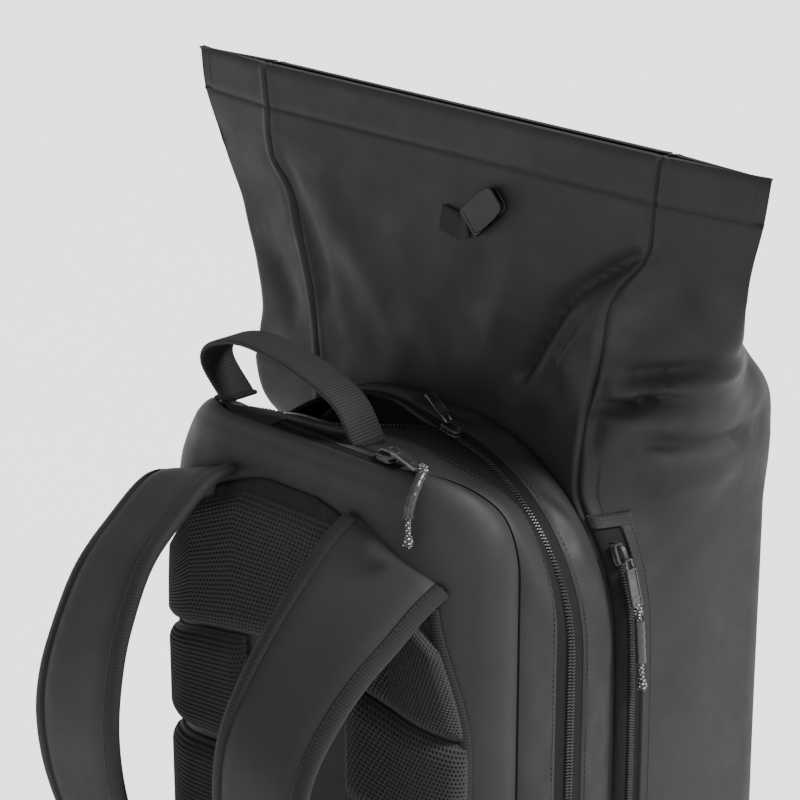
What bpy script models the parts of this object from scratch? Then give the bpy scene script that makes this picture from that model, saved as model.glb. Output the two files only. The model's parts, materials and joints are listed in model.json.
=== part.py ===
"""Racket backpack with a roll-top main compartment.

All sizes are in millimetres and are turned into metres when a mesh is made.
+X is the side with the zip pocket, the wearer's left; -Y is the harness side; +Z is up.
The origin is on the underside of the base, on the plane of the divider.
"""
import math

import bmesh
import bpy
from mathutils import Matrix, Vector

# ---------------------------------------------------------------- driving dimensions
MM = 0.001
GAP = 0.35                  # clearance between pieces that are sewn or laid together
FABRIC = 2.0                # coated fabric with its lining
PAD = 9.0                   # foam of the harness panel

FLOOR_TOP = 10.0            # top of the base panel
SEAM_A = -71.0              # harness panel to front gusset strip
SEAM_B = -47.0              # front strip to zip tape
ZIP_LINE = -36.0            # racket zip coil
SEAM_C = -25.0              # zip tape to rear gusset strip
SEAM_D = 0.0                # rear strip to main compartment
FACE_Y = -118.0             # flat face of the harness panel
FRONT_Y = 130.0             # front of the main compartment

ARCH_A = (130.0, 474.0, 58.0)     # half width, top, corner radius of the harness seam
ARCH_ZIP = (137.0, 468.0, 110.0)  # the same for the racket zip
ARCH_D = (138.0, 470.0, 120.0)    # the same for the divider seam
FACE_INSET = (47.0, 29.0)         # how far the flat face sits inside seam A: sides, top
FACE_RADIUS = 44.0

MOUTH = (-122.0, 36.0)      # ends of the open stretch of the racket zip
MOUTH_LEAN = 38.0           # how far the harness panel's top leans forward
MOUTH_BACK = 15.0           # how far the rear edge is pushed back

HINGE_Z = 588.0             # line the roll-top folds on
HINGE_Y = 26.5
HEM_Z = 617.0               # lower edge of the roll-top hem
TOP_Z = 643.0               # top edge of the roll-top

WEBBING = 25.0              # width of handle and strap webbing
WEB_THICK = 2.6

# section of the main compartment by height:
# z, back half width, back y, side fold half width, side fold y, front half width, front y
SECTIONS = (
    (10.35, 138.0, 1.0, 141.0, 62.0, 143.0, 128.0),
    (60.0, 139.0, 1.0, 146.0, 64.0, 146.0, 130.0),
    (180.0, 139.0, 1.0, 147.0, 64.0, 147.0, 131.0),
    (300.0, 139.0, 1.0, 147.0, 64.0, 146.0, 131.0),
    (371.0, 136.0, 1.0, 146.0, 64.0, 146.0, 131.0),
    (395.0, 129.0, 1.1, 145.0, 64.0, 146.0, 131.0),
    (410.0, 122.0, 1.2, 144.0, 64.0, 146.0, 131.0),
    (424.0, 113.0, 1.4, 143.0, 64.0, 147.0, 131.0),
    (438.0, 106.0, 1.6, 143.0, 64.0, 148.0, 131.0),
    (458.0, 106.0, 2.0, 145.0, 64.0, 149.0, 130.0),
    (484.0, 109.0, 2.5, 151.0, 62.0, 149.0, 124.0),
    (510.0, 114.0, 3.0, 164.0, 52.0, 144.0, 102.0),
    (540.0, 124.0, 3.5, 187.0, 38.0, 143.0, 74.0),
    (566.0, 132.0, 4.0, 203.0, 26.0, 143.0, 46.0),
    (588.0, 139.0, 4.5, 217.0, 16.0, 144.0, 26.0),
    (617.0, 145.0, 5.0, 229.0, 12.0, 146.0, 19.0),
    (643.0, 146.0, 5.0, 231.0, 12.0, 147.0, 19.0),
)

# strap edges from the yoke down to the end of the pad, chosen by hand
STRAP_EDGES = {
    "left": (
        ((-44, -119.5, 447), (-43, -141, 444), (-42, -165, 429), (-40, -190, 409), (-38, -208, 378),
         (-37, -217, 350), (-37, -221, 315), (-38, -217, 277), (-39, -206, 236), (-43, -188, 190),
         (-51, -166, 140)),
        ((-112, -109.5, 417), (-111, -134, 425), (-110, -163, 408), (-109, -190, 385), (-108, -211, 350),
         (-107, -221, 325), (-106, -224, 300), (-105, -220, 268), (-103, -209, 232), (-98, -190, 188),
         (-93, -166, 140)),
    ),
    "right": (
        ((44, -119.5, 446), (42, -136, 434), (40, -152, 418), (37, -173, 392), (35, -193, 364),
         (33, -206, 336), (33, -211, 303), (34, -208, 266), (36, -198, 228), (41, -182, 186),
         (49, -162, 138)),
        ((113, -107.5, 414), (111, -126, 404), (110, -144, 392), (108, -168, 376), (106, -190, 354),
         (105, -205, 331), (104, -212, 301), (103, -210, 266), (101, -200, 228), (97, -183, 186),
         (91, -162, 138)),
    ),
}
STRAP_THICK = 9.0
BINDING = 9.0
STRAP_SPLIT = 0.09          # share of the edge curves that is the fixed root
STRAP_GAP = {"left": 0.032, "right": 0.036}  # share left open, so that the strap can swing
ANCHOR = (141.0, -88.0, 32.0)

HANDLE_PATH = ((-80, -90, 479.0), (-94, -91, 493), (-87, -92, 506), (-61, -93, 514), (-32, -93, 512),
               (-5, -92, 505), (18, -91, 494), (30, -90, 479.0))
HANDLE_PIVOT_Z = 491.5      # height of the line that the handle swings about
HANDLE_END = 12.2           # radius of its rounded ends about that line

SLIDER = (13.0, 9.0, 4.4)   # zip slider: along the zip, across it, and high
TAB_THICK = 1.8
COIL_TOOTH = 2.2            # half width of the racket zip's coil
TAPE_THICK = 1.2
COIL_THICK = 2.4
COIL_LIFT = 0.8             # how far the coil stands proud of its tape
RIM_GAP = 1.2               # clearance of the front strip to the harness panel's slanted rim
CORD_RADIUS = 2.6
RACKET_SLIDER_X = 44.0
VALUABLES_Y = -104.0        # short zip along the top of the harness panel
VALUABLES_SLIDER_X = 60.0
POCKET_Y = 11.0             # coil of the side pocket zip
POCKET_SLIDER_Z = 408.0


# ---------------------------------------------------------------- scene and materials
def clear_scene():
    for obj in list(bpy.data.objects):
        bpy.data.objects.remove(obj, do_unlink=True)


def material(name, colour, roughness, metallic=0.0):
    mat = bpy.data.materials.new(name)
    mat.use_nodes = True
    shader = mat.node_tree.nodes["Principled BSDF"]
    shader.inputs["Base Color"].default_value = (*colour, 1.0)
    shader.inputs["Roughness"].default_value = roughness
    shader.inputs["Metallic"].default_value = metallic
    return mat


COATED = ((0.055, 0.055, 0.056), 0.55)
COATED_DARK = ((0.032, 0.032, 0.033), 0.6)
MESH = ((0.012, 0.012, 0.013), 0.85)
RIBBED = ((0.022, 0.022, 0.023), 0.75)
PLASTIC = ((0.012, 0.012, 0.013), 0.35)
GUNMETAL = ((0.045, 0.045, 0.048), 0.35)
METAL = 0.6


def add_mesh(name, verts, faces, look, origin=(0, 0, 0), metallic=0.0, smooth_angle=35.0):
    """Make one object; verts are world millimetres, origin is where its pivot sits."""
    base = Vector(origin)
    mesh = bpy.data.meshes.new(name)
    mesh.from_pydata([(Vector(v) - base) * MM for v in verts], [], faces)
    mesh.update()
    work = bmesh.new()
    work.from_mesh(mesh)
    bmesh.ops.recalc_face_normals(work, faces=work.faces)
    if work.calc_volume(signed=True) < 0:
        bmesh.ops.reverse_faces(work, faces=work.faces)
    work.to_mesh(mesh)
    work.free()
    obj = bpy.data.objects.new(name, mesh)
    obj.location = base * MM
    bpy.context.collection.objects.link(obj)
    obj.data.materials.append(material(name, look[0], look[1], metallic))
    obj.data.shade_smooth()
    obj.data.set_sharp_from_angle(angle=math.radians(smooth_angle))
    return obj


# ---------------------------------------------------------------- geometry helpers
def mix(a, b, t):
    return a + (b - a) * t


def table_at(rows, key):
    """Rows of numbers by their first column, eased between rows."""
    if key <= rows[0][0]:
        return rows[0][1:]
    for low, high in zip(rows, rows[1:]):
        if key <= high[0]:
            t = (key - low[0]) / (high[0] - low[0])
            return tuple(mix(a, b, t) for a, b in zip(low[1:], high[1:]))
    return rows[-1][1:]


def curve_at(points, t):
    """Catmull-Rom curve through the points, t from 0 to 1."""
    spans = len(points) - 1
    place = min(max(t, 0.0), 1.0) * spans
    k = min(int(place), spans - 1)
    f = place - k
    p1 = Vector(points[k])
    p2 = Vector(points[k + 1])
    p0 = Vector(points[k - 1]) if k > 0 else p1 * 2 - p2
    p3 = Vector(points[k + 2]) if k + 2 <= spans else p2 * 2 - p1
    return 0.5 * (2 * p1 + (p2 - p0) * f + (2 * p0 - 5 * p1 + 4 * p2 - p3) * f * f
                  + (3 * p1 - p0 - 3 * p2 + p3) * f ** 3)


def bump(value, low, high, edge):
    """1 between low and high, easing to 0 over the edge width at both ends."""
    t = min(value - low, high - value) / edge
    t = min(max(t, 0.0), 1.0)
    return t * t * (3 - 2 * t)


def loft_solid(name, outer, inner, look, wrap=False, **more):
    """Closed shell between two grids of the same size; wrap joins the last column to the first."""
    rows = len(outer)
    cols = len(outer[0])
    verts = [p for row in outer for p in row] + [p for row in inner for p in row]
    half = rows * cols
    span = cols if wrap else cols - 1
    faces = []
    for r in range(rows - 1):
        for c in range(span):
            d = (c + 1) % cols
            a = (r * cols + c, r * cols + d, (r + 1) * cols + d, (r + 1) * cols + c)
            faces.append(a)
            faces.append(tuple(half + i for i in reversed(a)))
    for c in range(span):
        d = (c + 1) % cols
        faces.append((d, c, half + c, half + d))
        top = (rows - 1) * cols
        faces.append((top + c, top + d, half + top + d, half + top + c))
    if not wrap:
        for r in range(rows - 1):
            a = r * cols
            b = (r + 1) * cols
            faces.append((a, b, half + b, half + a))
            faces.append((b + cols - 1, a + cols - 1, half + a + cols - 1, half + b + cols - 1))
    return add_mesh(name, verts, faces, look, **more)


def grid_normals(grid, wrap=False):
    rows = len(grid)
    cols = len(grid[0])
    normals = []
    for r in range(rows):
        line = []
        for c in range(cols):
            left = grid[r][(c - 1) % cols] if wrap or c > 0 else grid[r][c]
            right = grid[r][(c + 1) % cols] if wrap or c < cols - 1 else grid[r][c]
            down = grid[max(r - 1, 0)][c]
            up = grid[min(r + 1, rows - 1)][c]
            line.append((Vector(right) - Vector(left)).cross(Vector(up) - Vector(down)).normalized())
        normals.append(line)
    return normals


def moved(grid, normals, distance):
    return [[Vector(p) + n * distance for p, n in zip(row, line)] for row, line in zip(grid, normals)]


def prism(name, outline, axis, low, high, look, **more):
    """Outline in the plane across the axis, extruded from low to high; points run in order."""
    def place(p, level):
        if axis == "X":
            return (level, p[0], p[1])
        if axis == "Y":
            return (p[0], level, p[1])
        return (p[0], p[1], level)
    count = len(outline)
    verts = [place(p, low) for p in outline] + [place(p, high) for p in outline]
    faces = [tuple(range(count)), tuple(range(2 * count - 1, count - 1, -1))]
    for i in range(count):
        j = (i + 1) % count
        faces.append((i, j, count + j, count + i))
    return add_mesh(name, verts, faces, look, **more)


def rounded_rect(x0, x1, y0, y1, radius, steps=5):
    points = []
    for cx, cy, start in ((x1 - radius, y0 + radius, -90), (x1 - radius, y1 - radius, 0),
                          (x0 + radius, y1 - radius, 90), (x0 + radius, y0 + radius, 180)):
        for i in range(steps + 1):
            angle = math.radians(start + 90 * i / steps)
            points.append((cx + radius * math.cos(angle), cy + radius * math.sin(angle)))
    return points


def ribbon(name, edge_a, edge_b, thick, steps, look, start=0.0, end=1.0, **more):
    """Flat strip between two edge curves; its thickness is split about them."""
    rings = []
    for i in range(steps + 1):
        t = mix(start, end, i / steps)
        a = curve_at(edge_a, t)
        b = curve_at(edge_b, t)
        ahead = (curve_at(edge_a, t + 0.01) + curve_at(edge_b, t + 0.01)) / 2
        behind = (curve_at(edge_a, t - 0.01) + curve_at(edge_b, t - 0.01)) / 2
        normal = (b - a).cross(ahead - behind).normalized()
        half = normal * (thick / 2)
        rings.append((a + half, b + half, b - half, a - half))
    verts = [p for ring in rings for p in ring]
    faces = [(0, 1, 2, 3), tuple(len(verts) - 1 - i for i in range(4))]
    for i in range(steps):
        for k in range(4):
            m = (k + 1) % 4
            faces.append((i * 4 + k, i * 4 + m, i * 4 + 4 + m, i * 4 + 4 + k))
    return add_mesh(name, verts, faces, look, **more)


def block(name, size, centre, look, bevel=0.6, turn=None, **more):
    """Box with bevelled edges, size in millimetres, turned about its centre."""
    work = bmesh.new()
    bmesh.ops.create_cube(work, size=1.0)
    bmesh.ops.scale(work, vec=Vector(size), verts=work.verts)
    bmesh.ops.bevel(work, geom=work.edges[:], offset=bevel, segments=2, affect="EDGES")
    spin = turn if turn else Matrix.Identity(3)
    verts = [spin @ v.co + Vector(centre) for v in work.verts]
    faces = [tuple(v.index for v in f.verts) for f in work.faces]
    work.free()
    return add_mesh(name, verts, faces, look, **more)


def tube(name, path, radius, sides, look, steps=None, **more):
    """Closed round bar along a curve through the path points."""
    steps = steps or (len(path) - 1) * 4
    verts = []
    side = None
    for i in range(steps + 1):
        t = i / steps
        tangent = (curve_at(path, t + 0.01) - curve_at(path, t - 0.01)).normalized()
        if side is None:
            side = tangent.orthogonal().normalized()
        side = (side - tangent * side.dot(tangent)).normalized()
        other = tangent.cross(side)
        for k in range(sides):
            angle = 2 * math.pi * k / sides
            verts.append(curve_at(path, t) + (side * math.cos(angle) + other * math.sin(angle)) * radius)
    faces = [tuple(range(sides)), tuple(range(len(verts) - 1, len(verts) - 1 - sides, -1))]
    for i in range(steps):
        for k in range(sides):
            m = (k + 1) % sides
            faces.append((i * sides + k, i * sides + m, (i + 1) * sides + m, (i + 1) * sides + k))
    return add_mesh(name, verts, faces, look, **more)


# ---------------------------------------------------------------- arched racket compartment
def arch_points(half, top, radius, bottom, side_steps=4, arc_steps=7, top_steps=12):
    """Arch outline in X and Z from the lower left corner over the top to the lower right."""
    left = [(-half, mix(bottom, top - radius, i / side_steps)) for i in range(side_steps)]
    for i in range(arc_steps):
        angle = math.pi - math.pi / 2 * i / arc_steps
        left.append((-half + radius + radius * math.cos(angle), top - radius + radius * math.sin(angle)))
    across = half - radius
    middle = [(mix(-across, across, i / top_steps), top) for i in range(top_steps + 1)]
    return left + middle + [(-x, z) for x, z in reversed(left)]


def arch_at(y):
    """Half width, top and corner radius of the gusset at a depth between seams A and D."""
    rows = ((SEAM_A, *ARCH_A), (ZIP_LINE, *ARCH_ZIP), (SEAM_D, *ARCH_D))
    return table_at(rows, y)


def lean(x, z):
    """Forward lean of the harness side along the top."""
    return -MOUTH_LEAN * bump(x, -130, 128, 72) * bump(z, 438, 700, 24)


def mouth_share(x, z):
    return bump(x, MOUTH[0], MOUTH[1], 60) * bump(z, 430, 700, 24)


def gusset_row(y, shift, inset=0.0):
    half, top, radius = arch_at(y)
    rows = arch_points(half - inset, top - inset, radius - inset, FLOOR_TOP + GAP)
    return [Vector((x, y + shift(x, z), z)) for x, z in rows]


def gusset_strip(name, y_low, y_high, shift_low, shift_high, thick, look, lift=0.0, rows=2):
    """Strip of the gusset between two depths; the shifts follow the open mouth."""
    outer = []
    inner = []
    for r in range(rows):
        t = r / (rows - 1)
        y = mix(y_low, y_high, t)

        def shift(x, z, t=t):
            return mix(shift_low(x, z), shift_high(x, z), t)
        outer.append(gusset_row(y, shift, -lift))
        inner.append(gusset_row(y, shift, thick - lift))
    return loft_solid(name, inner, outer, look)


def front_edge(x, z):
    return -MOUTH_LEAN * mouth_share(x, z)


def front_seam(x, z):
    return (lean(x, z) + front_edge(x, z)) / 2


def rear_edge(x, z):
    return MOUTH_BACK * mouth_share(x, z)


def rear_strip_edge(x, z):
    return 0.8 * MOUTH_BACK * mouth_share(x, z)


def still(x, z):
    return 0.0


def build_gusset():
    rim = SEAM_A + RIM_GAP
    coil_low = ZIP_LINE - COIL_TOOTH
    coil_high = ZIP_LINE + COIL_TOOTH
    gusset_strip("gusset_front_strip", rim, SEAM_B - GAP, lean, front_seam, FABRIC, COATED)
    gusset_strip("racket_zip_tape_front", SEAM_B + GAP, coil_low - 2 * GAP, front_seam, front_edge,
                 TAPE_THICK, COATED_DARK)
    gusset_strip("racket_zip_coil_front", coil_low, ZIP_LINE - GAP / 2, front_edge, front_edge,
                 COIL_THICK, PLASTIC, lift=COIL_LIFT)
    gusset_strip("racket_zip_coil_rear", ZIP_LINE + GAP / 2, coil_high, rear_edge, rear_edge,
                 COIL_THICK, PLASTIC, lift=COIL_LIFT)
    gusset_strip("racket_zip_tape_rear", coil_high + 2 * GAP, SEAM_C - GAP, rear_edge,
                 rear_strip_edge, TAPE_THICK, COATED_DARK)
    gusset_strip("gusset_rear_strip", SEAM_C + GAP, SEAM_D - GAP, rear_strip_edge, still, FABRIC, COATED)


# ---------------------------------------------------------------- padded harness panel
def closed_arch(half, top, radius, bottom, corner, steps=4):
    """The arch closed by a bottom edge with rounded lower corners."""
    ring = arch_points(half, top, radius, bottom + corner)
    foot = []
    for i in range(1, steps + 1):
        angle = math.pi / 2 * i / steps
        foot.append((half - corner + corner * math.cos(angle), bottom + corner - corner * math.sin(angle)))
    across = half - corner
    line = [(mix(across, -across, i / 6), bottom) for i in range(1, 6)]
    return ring + foot + line + [(-x, z) for x, z in reversed(foot)]


def dish_ring(angle, thick):
    """Ring of the harness panel: angle 0 at seam A, 90 degrees at the flat face."""
    turn = math.sin(angle)
    inset = 1 - math.cos(angle)
    keep = thick * math.cos(angle)
    half = ARCH_A[0] - FACE_INSET[0] * inset - keep
    top = ARCH_A[1] - FACE_INSET[1] * inset - keep
    radius = mix(ARCH_A[2], FACE_RADIUS, inset) - 0.6 * keep
    bottom = FLOOR_TOP + GAP + 26 * inset + keep
    ring = closed_arch(half, top, radius, bottom, 26 - 6 * inset)
    points = []
    for x, z in ring:
        seam = SEAM_A + lean(x, z)
        points.append(Vector((x, mix(seam, FACE_Y, turn) + thick * turn, z)))
    return points


def build_harness_panel():
    steps = 7
    angles = [math.pi / 2 * i / steps for i in range(steps + 1)]
    rings = [dish_ring(a, 0.0) for a in angles]
    inner = [dish_ring(a, PAD) for a in angles]
    count = len(rings[0])
    order = rings + inner[::-1]
    verts = [p for ring in order for p in ring]
    faces = []
    for r in range(len(order) - 1):
        if r == steps:
            continue
        for c in range(count):
            d = (c + 1) % count
            faces.append((r * count + c, r * count + d, (r + 1) * count + d, (r + 1) * count + c))
    face_ring = steps * count
    back_ring = (steps + 1) * count
    rim = (len(order) - 1) * count
    faces.append(tuple(range(face_ring, face_ring + count)))
    faces.append(tuple(range(back_ring, back_ring + count)))
    for c in range(count):
        d = (c + 1) % count
        faces.append((rim + c, rim + d, d, c))
    add_mesh("harness_panel", verts, faces, COATED)
    inside = FACE_Y + PAD + 0.5
    sheet = closed_arch(79.0, 436.0, 40.0, 44.0, 18.0)
    prism("back_frame_sheet", sheet, "Y", inside, inside + 1.8, PLASTIC)


def half_width_at(z, half, top, radius):
    rise = z - (top - radius)
    if rise <= 0:
        return half
    rise = min(rise, radius)
    return half - radius + math.sqrt(max(radius * radius - rise * rise, 0.0))


def harness_surface(share, z, lift):
    """Point over the harness face; share 0 at the centre, 1 at the edge of the flat, then round."""
    flat = half_width_at(z, ARCH_A[0] - FACE_INSET[0], ARCH_A[1] - FACE_INSET[1], FACE_RADIUS)
    if share <= 1:
        return Vector((flat * share, FACE_Y - lift, z))
    angle = math.pi / 2 - (share - 1)
    inset = 1 - math.cos(angle)
    half = ARCH_A[0] - FACE_INSET[0] * inset
    top = ARCH_A[1] - FACE_INSET[1] * inset
    radius = mix(ARCH_A[2], FACE_RADIUS, inset)
    x = half_width_at(z, half, top, radius)
    y = mix(SEAM_A, FACE_Y, math.sin(angle))
    return Vector((x + lift * math.cos(angle), y - lift * math.sin(angle), z))


def mesh_pad(name, side, share_low, share_high, z_low, z_high, thick=7.0, cols=8, rows=5):
    """Air-mesh pad lying on the harness panel; z_low and z_high are functions of the share."""
    top = []
    under = []
    for r in range(rows + 1):
        over = []
        below = []
        for c in range(cols + 1):
            share = mix(share_low, share_high, c / cols)
            z = mix(z_low(abs(share)), z_high(abs(share)), r / rows)
            edge = min(c, cols - c, r, rows - r)
            height = thick if edge else thick * 0.55
            for line, lift in ((over, height), (below, GAP + 0.15)):
                p = harness_surface(abs(share), z, lift)
                line.append(Vector((p.x * side * (1 if share >= 0 else -1), p.y, p.z)))
        top.append(over)
        under.append(below)
    loft_solid(name, top, under, MESH)


def build_mesh_pads():
    def yoke_top(share):
        return 436.0 - 38.0 * max(share - 0.5, 0.0)

    def first_split(share):
        return 351.0 - 14.0 * share

    def second_split(share):
        return 270.0 - 6.0 * share

    def foot(share):
        return 62.0

    mesh_pad("mesh_pad_upper", 1, -1.78, 1.78, first_split, yoke_top, cols=16)
    for label, side in (("left", -1), ("right", 1)):
        mesh_pad("mesh_pad_middle_" + label, side, 0.5, 1.9, lambda s: second_split(s) + 2.5,
                 lambda s: first_split(s) - 2.5)
        mesh_pad("mesh_pad_lower_" + label, side, 0.5, 1.9, foot, lambda s: second_split(s) - 2.5)


# ---------------------------------------------------------------- main compartment
def rounded_loop(corners, arc_steps, edge_steps):
    """Closed loop through corner points; each corner carries the length its rounding takes."""
    count = len(corners)
    points = []
    for i, (x, y, cut) in enumerate(corners):
        here = Vector((x, y))
        back = Vector(corners[i - 1][:2])
        ahead = Vector(corners[(i + 1) % count][:2])
        cut_next = corners[(i + 1) % count][2]
        enter = here + (back - here).normalized() * cut
        leave = here + (ahead - here).normalized() * cut
        for k in range(arc_steps + 1):
            t = k / arc_steps
            points.append(enter * (1 - t) ** 2 + here * 2 * t * (1 - t) + leave * t * t)
        arrive = ahead + (here - ahead).normalized() * cut_next
        for k in range(1, edge_steps):
            points.append(leave.lerp(arrive, k / edge_steps))
    return points


ARC = 4
EDGE = 5
STEP = ARC + EDGE           # loop points per corner


def section_loop(z):
    """Horizontal outline of the main compartment and roll-top, counter-clockwise from above."""
    back_half, back_y, fold_half, fold_y, front_half, front_y = table_at(SECTIONS, z)
    narrow = min(1.0, (front_y - back_y) / 128.0)
    back_cut = mix(2.0, 9.0, narrow)
    fold_cut = mix(6.5, 26.0, narrow)
    front_cut = mix(2.0, 34.0, narrow)
    corners = ((-back_half, back_y, back_cut), (back_half, back_y, back_cut),
               (fold_half, fold_y, fold_cut), (front_half, front_y, front_cut),
               (-front_half, front_y, front_cut), (-fold_half, fold_y, fold_cut))
    return [Vector((p.x, p.y, z)) for p in rounded_loop(corners, ARC, EDGE)]


def level_grid(levels):
    return [section_loop(z) for z in levels]


def level_normals(grid):
    """Outward directions of the loops, kept horizontal so that stacked shells meet flat."""
    flat = []
    for line in grid_normals(grid, wrap=True):
        flat.append([Vector((n.x, n.y, 0.0)).normalized() for n in line])
    return flat


def pick(grid, start, count):
    size = len(grid[0])
    return [[row[(start + i) % size] for i in range(count)] for row in grid]


def trim(points_grid, left, right):
    """Pull the first and last columns of a grid in by a small distance."""
    result = []
    for row in points_grid:
        row = [Vector(p) for p in row]
        row[0] += (row[1] - row[0]).normalized() * left
        row[-1] += (row[-2] - row[-1]).normalized() * right
        result.append(row)
    return result


def body_panel(name, levels, start, count, thick, look):
    grid = level_grid(levels)
    normals = level_normals(grid)
    outer = trim(pick(grid, start, count), GAP, GAP)
    inner = trim(pick(moved(grid, normals, -thick), start, count), GAP, GAP)
    loft_solid(name, outer, inner, look)


BODY_LEVELS = (10.35, 60.0, 180.0, 300.0, 371.0, 395.0, 410.0, 424.0, 438.0, 458.0, 483.65)
COLLAR_LEVELS = (484.0, 497.0, 510.0, 525.0, 540.0, 566.0, 587.5)
FLAP_LEVELS = (588.5, 602.0, 617.0, 643.0)


def build_main_compartment():
    seam = ARC // 2
    right_back = STEP + seam
    right_front = 3 * STEP + seam
    left_front = 4 * STEP + seam
    left_back = 6 * STEP + seam
    body_panel("divider_panel", BODY_LEVELS, seam, right_back - seam + 1, FABRIC, COATED_DARK)
    body_panel("side_panel_right", BODY_LEVELS, right_back, right_front - right_back + 1, FABRIC, COATED)
    body_panel("front_panel", BODY_LEVELS, right_front, left_front - right_front + 1, FABRIC, COATED)
    body_panel("side_panel_left", BODY_LEVELS, left_front, left_back - left_front + 1, FABRIC, COATED)


def ring_shell(name, levels, thick, look, **more):
    grid = level_grid(levels)
    inner = moved(grid, level_normals(grid), -thick)
    return loft_solid(name, grid, inner, look, wrap=True, **more)


def build_roll_top():
    ring_shell("roll_top_collar", COLLAR_LEVELS, 1.6, COATED_DARK)
    pivot = (0.0, HINGE_Y, HINGE_Z)
    ring_shell("roll_top_flap", FLAP_LEVELS, 1.6, COATED_DARK, origin=pivot)
    for label, y in (("rear", 7.2), ("front", 15.8)):
        outline = rounded_rect(-138.0, 138.0, HEM_Z + 3, TOP_Z - 3, 3.0, steps=2)
        prism("hem_stiffener_" + label, outline, "Y", y - 0.35, y + 0.35, PLASTIC, origin=pivot)


def build_base():
    outline = rounded_rect(-143.0, 143.0, SEAM_A - 6.0, FRONT_Y - 2.0, 26.0, steps=6)
    small = rounded_rect(-139.0, 139.0, SEAM_A - 2.0, FRONT_Y - 6.0, 22.0, steps=6)
    rows = [[(x, y, 0.0) for x, y in small], [(x, y, 4.0) for x, y in outline],
            [(x, y, FLOOR_TOP) for x, y in outline]]
    count = len(outline)
    verts = [p for row in rows for p in row]
    faces = [tuple(range(count)), tuple(range(2 * count, 3 * count))]
    for r in range(2):
        for c in range(count):
            d = (c + 1) % count
            faces.append((r * count + c, r * count + d, (r + 1) * count + d, (r + 1) * count + c))
    add_mesh("base_panel", verts, faces, COATED_DARK)
    board = rounded_rect(-131.0, 131.0, 6.0, 118.0, 18.0)
    prism("base_board", board, "Z", FLOOR_TOP + 0.4, FLOOR_TOP + 2.6, PLASTIC)


# ---------------------------------------------------------------- shoulder straps
def shifted_edge(edge_a, edge_b, inset):
    """Edge curve moved towards its partner by a fixed distance."""
    result = []
    for a, b in zip(edge_a, edge_b):
        a = Vector(a)
        b = Vector(b)
        result.append(a + (b - a).normalized() * inset)
    return result


def strap_axis(side):
    """Line from the strap's root on the yoke to its anchor at the base."""
    inner, outer = STRAP_EDGES[side]
    root = (Vector(inner[0]) + Vector(outer[0])) / 2
    sign = -1 if side == "left" else 1
    foot = Vector((sign * ANCHOR[0], ANCHOR[1], ANCHOR[2]))
    return root, foot


def build_strap(side):
    sign = -1 if side == "left" else 1
    inner, outer = STRAP_EDGES[side]
    if side == "right":
        edge_a, edge_b = outer, inner
    else:
        edge_a, edge_b = inner, outer
    root, foot = strap_axis(side)
    pivot = tuple(root)
    pad_a = shifted_edge(edge_a, edge_b, BINDING + GAP)
    pad_b = shifted_edge(edge_b, edge_a, BINDING + GAP)
    ribbon("strap_root_" + side, shifted_edge(edge_a, edge_b, 2.0), shifted_edge(edge_b, edge_a, 2.0),
           6.0, 3, RIBBED, start=0.048, end=STRAP_SPLIT)
    start = STRAP_SPLIT + STRAP_GAP[side]
    ribbon("shoulder_strap_" + side, pad_a, pad_b, STRAP_THICK, 26, COATED, start=start, origin=pivot)
    strip_a = shifted_edge(edge_a, edge_b, BINDING)
    strip_b = shifted_edge(edge_b, edge_a, BINDING)
    name_a, name_b = ("outer", "inner") if side == "right" else ("inner", "outer")
    ribbon("strap_binding_" + name_a + "_" + side, edge_a, strip_a, STRAP_THICK - 2, 26, RIBBED,
           start=start, origin=pivot)
    ribbon("strap_binding_" + name_b + "_" + side, strip_b, edge_b, STRAP_THICK - 2, 26, RIBBED,
           start=start, origin=pivot)
    build_strap_end(side, sign, pivot, foot)


def build_strap_end(side, sign, pivot, foot):
    inner, outer = STRAP_EDGES[side]
    end = (Vector(inner[-1]) + Vector(outer[-1])) / 2
    down = (end - (Vector(inner[-2]) + Vector(outer[-2])) / 2).normalized()
    lock = end + down * 17.0
    across = Vector((1, 0, 0))
    turn = frame_from(across, down)
    hinge = end + down * 9.5
    ladder_frame(side, lock, turn, tuple(hinge))
    half = WEBBING / 2
    toward = (foot - lock).normalized()
    first = lock + down * 14.5
    mid = first + (foot - first) * 0.5 + Vector((0, -8, -6))
    last = foot - toward * 1.0
    edge_a = []
    edge_b = []
    for p, spread in ((first, Vector((half, 0, 0))), (mid, Vector((half * 0.95, 4 * sign, 2))),
                      (last, Vector((half * 0.6, 6 * sign, 7)))):
        edge_a.append(p - spread)
        edge_b.append(p + spread)
    ribbon("lower_webbing_" + side, edge_a, edge_b, WEB_THICK, 8, RIBBED, origin=pivot)


def frame_from(across, down):
    """Rotation whose X is across, Z is up along the strap and Y is its thickness."""
    up = -down
    x = (across - up * across.dot(up)).normalized()
    y = up.cross(x)
    return Matrix((x, y, up)).transposed()


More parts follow.
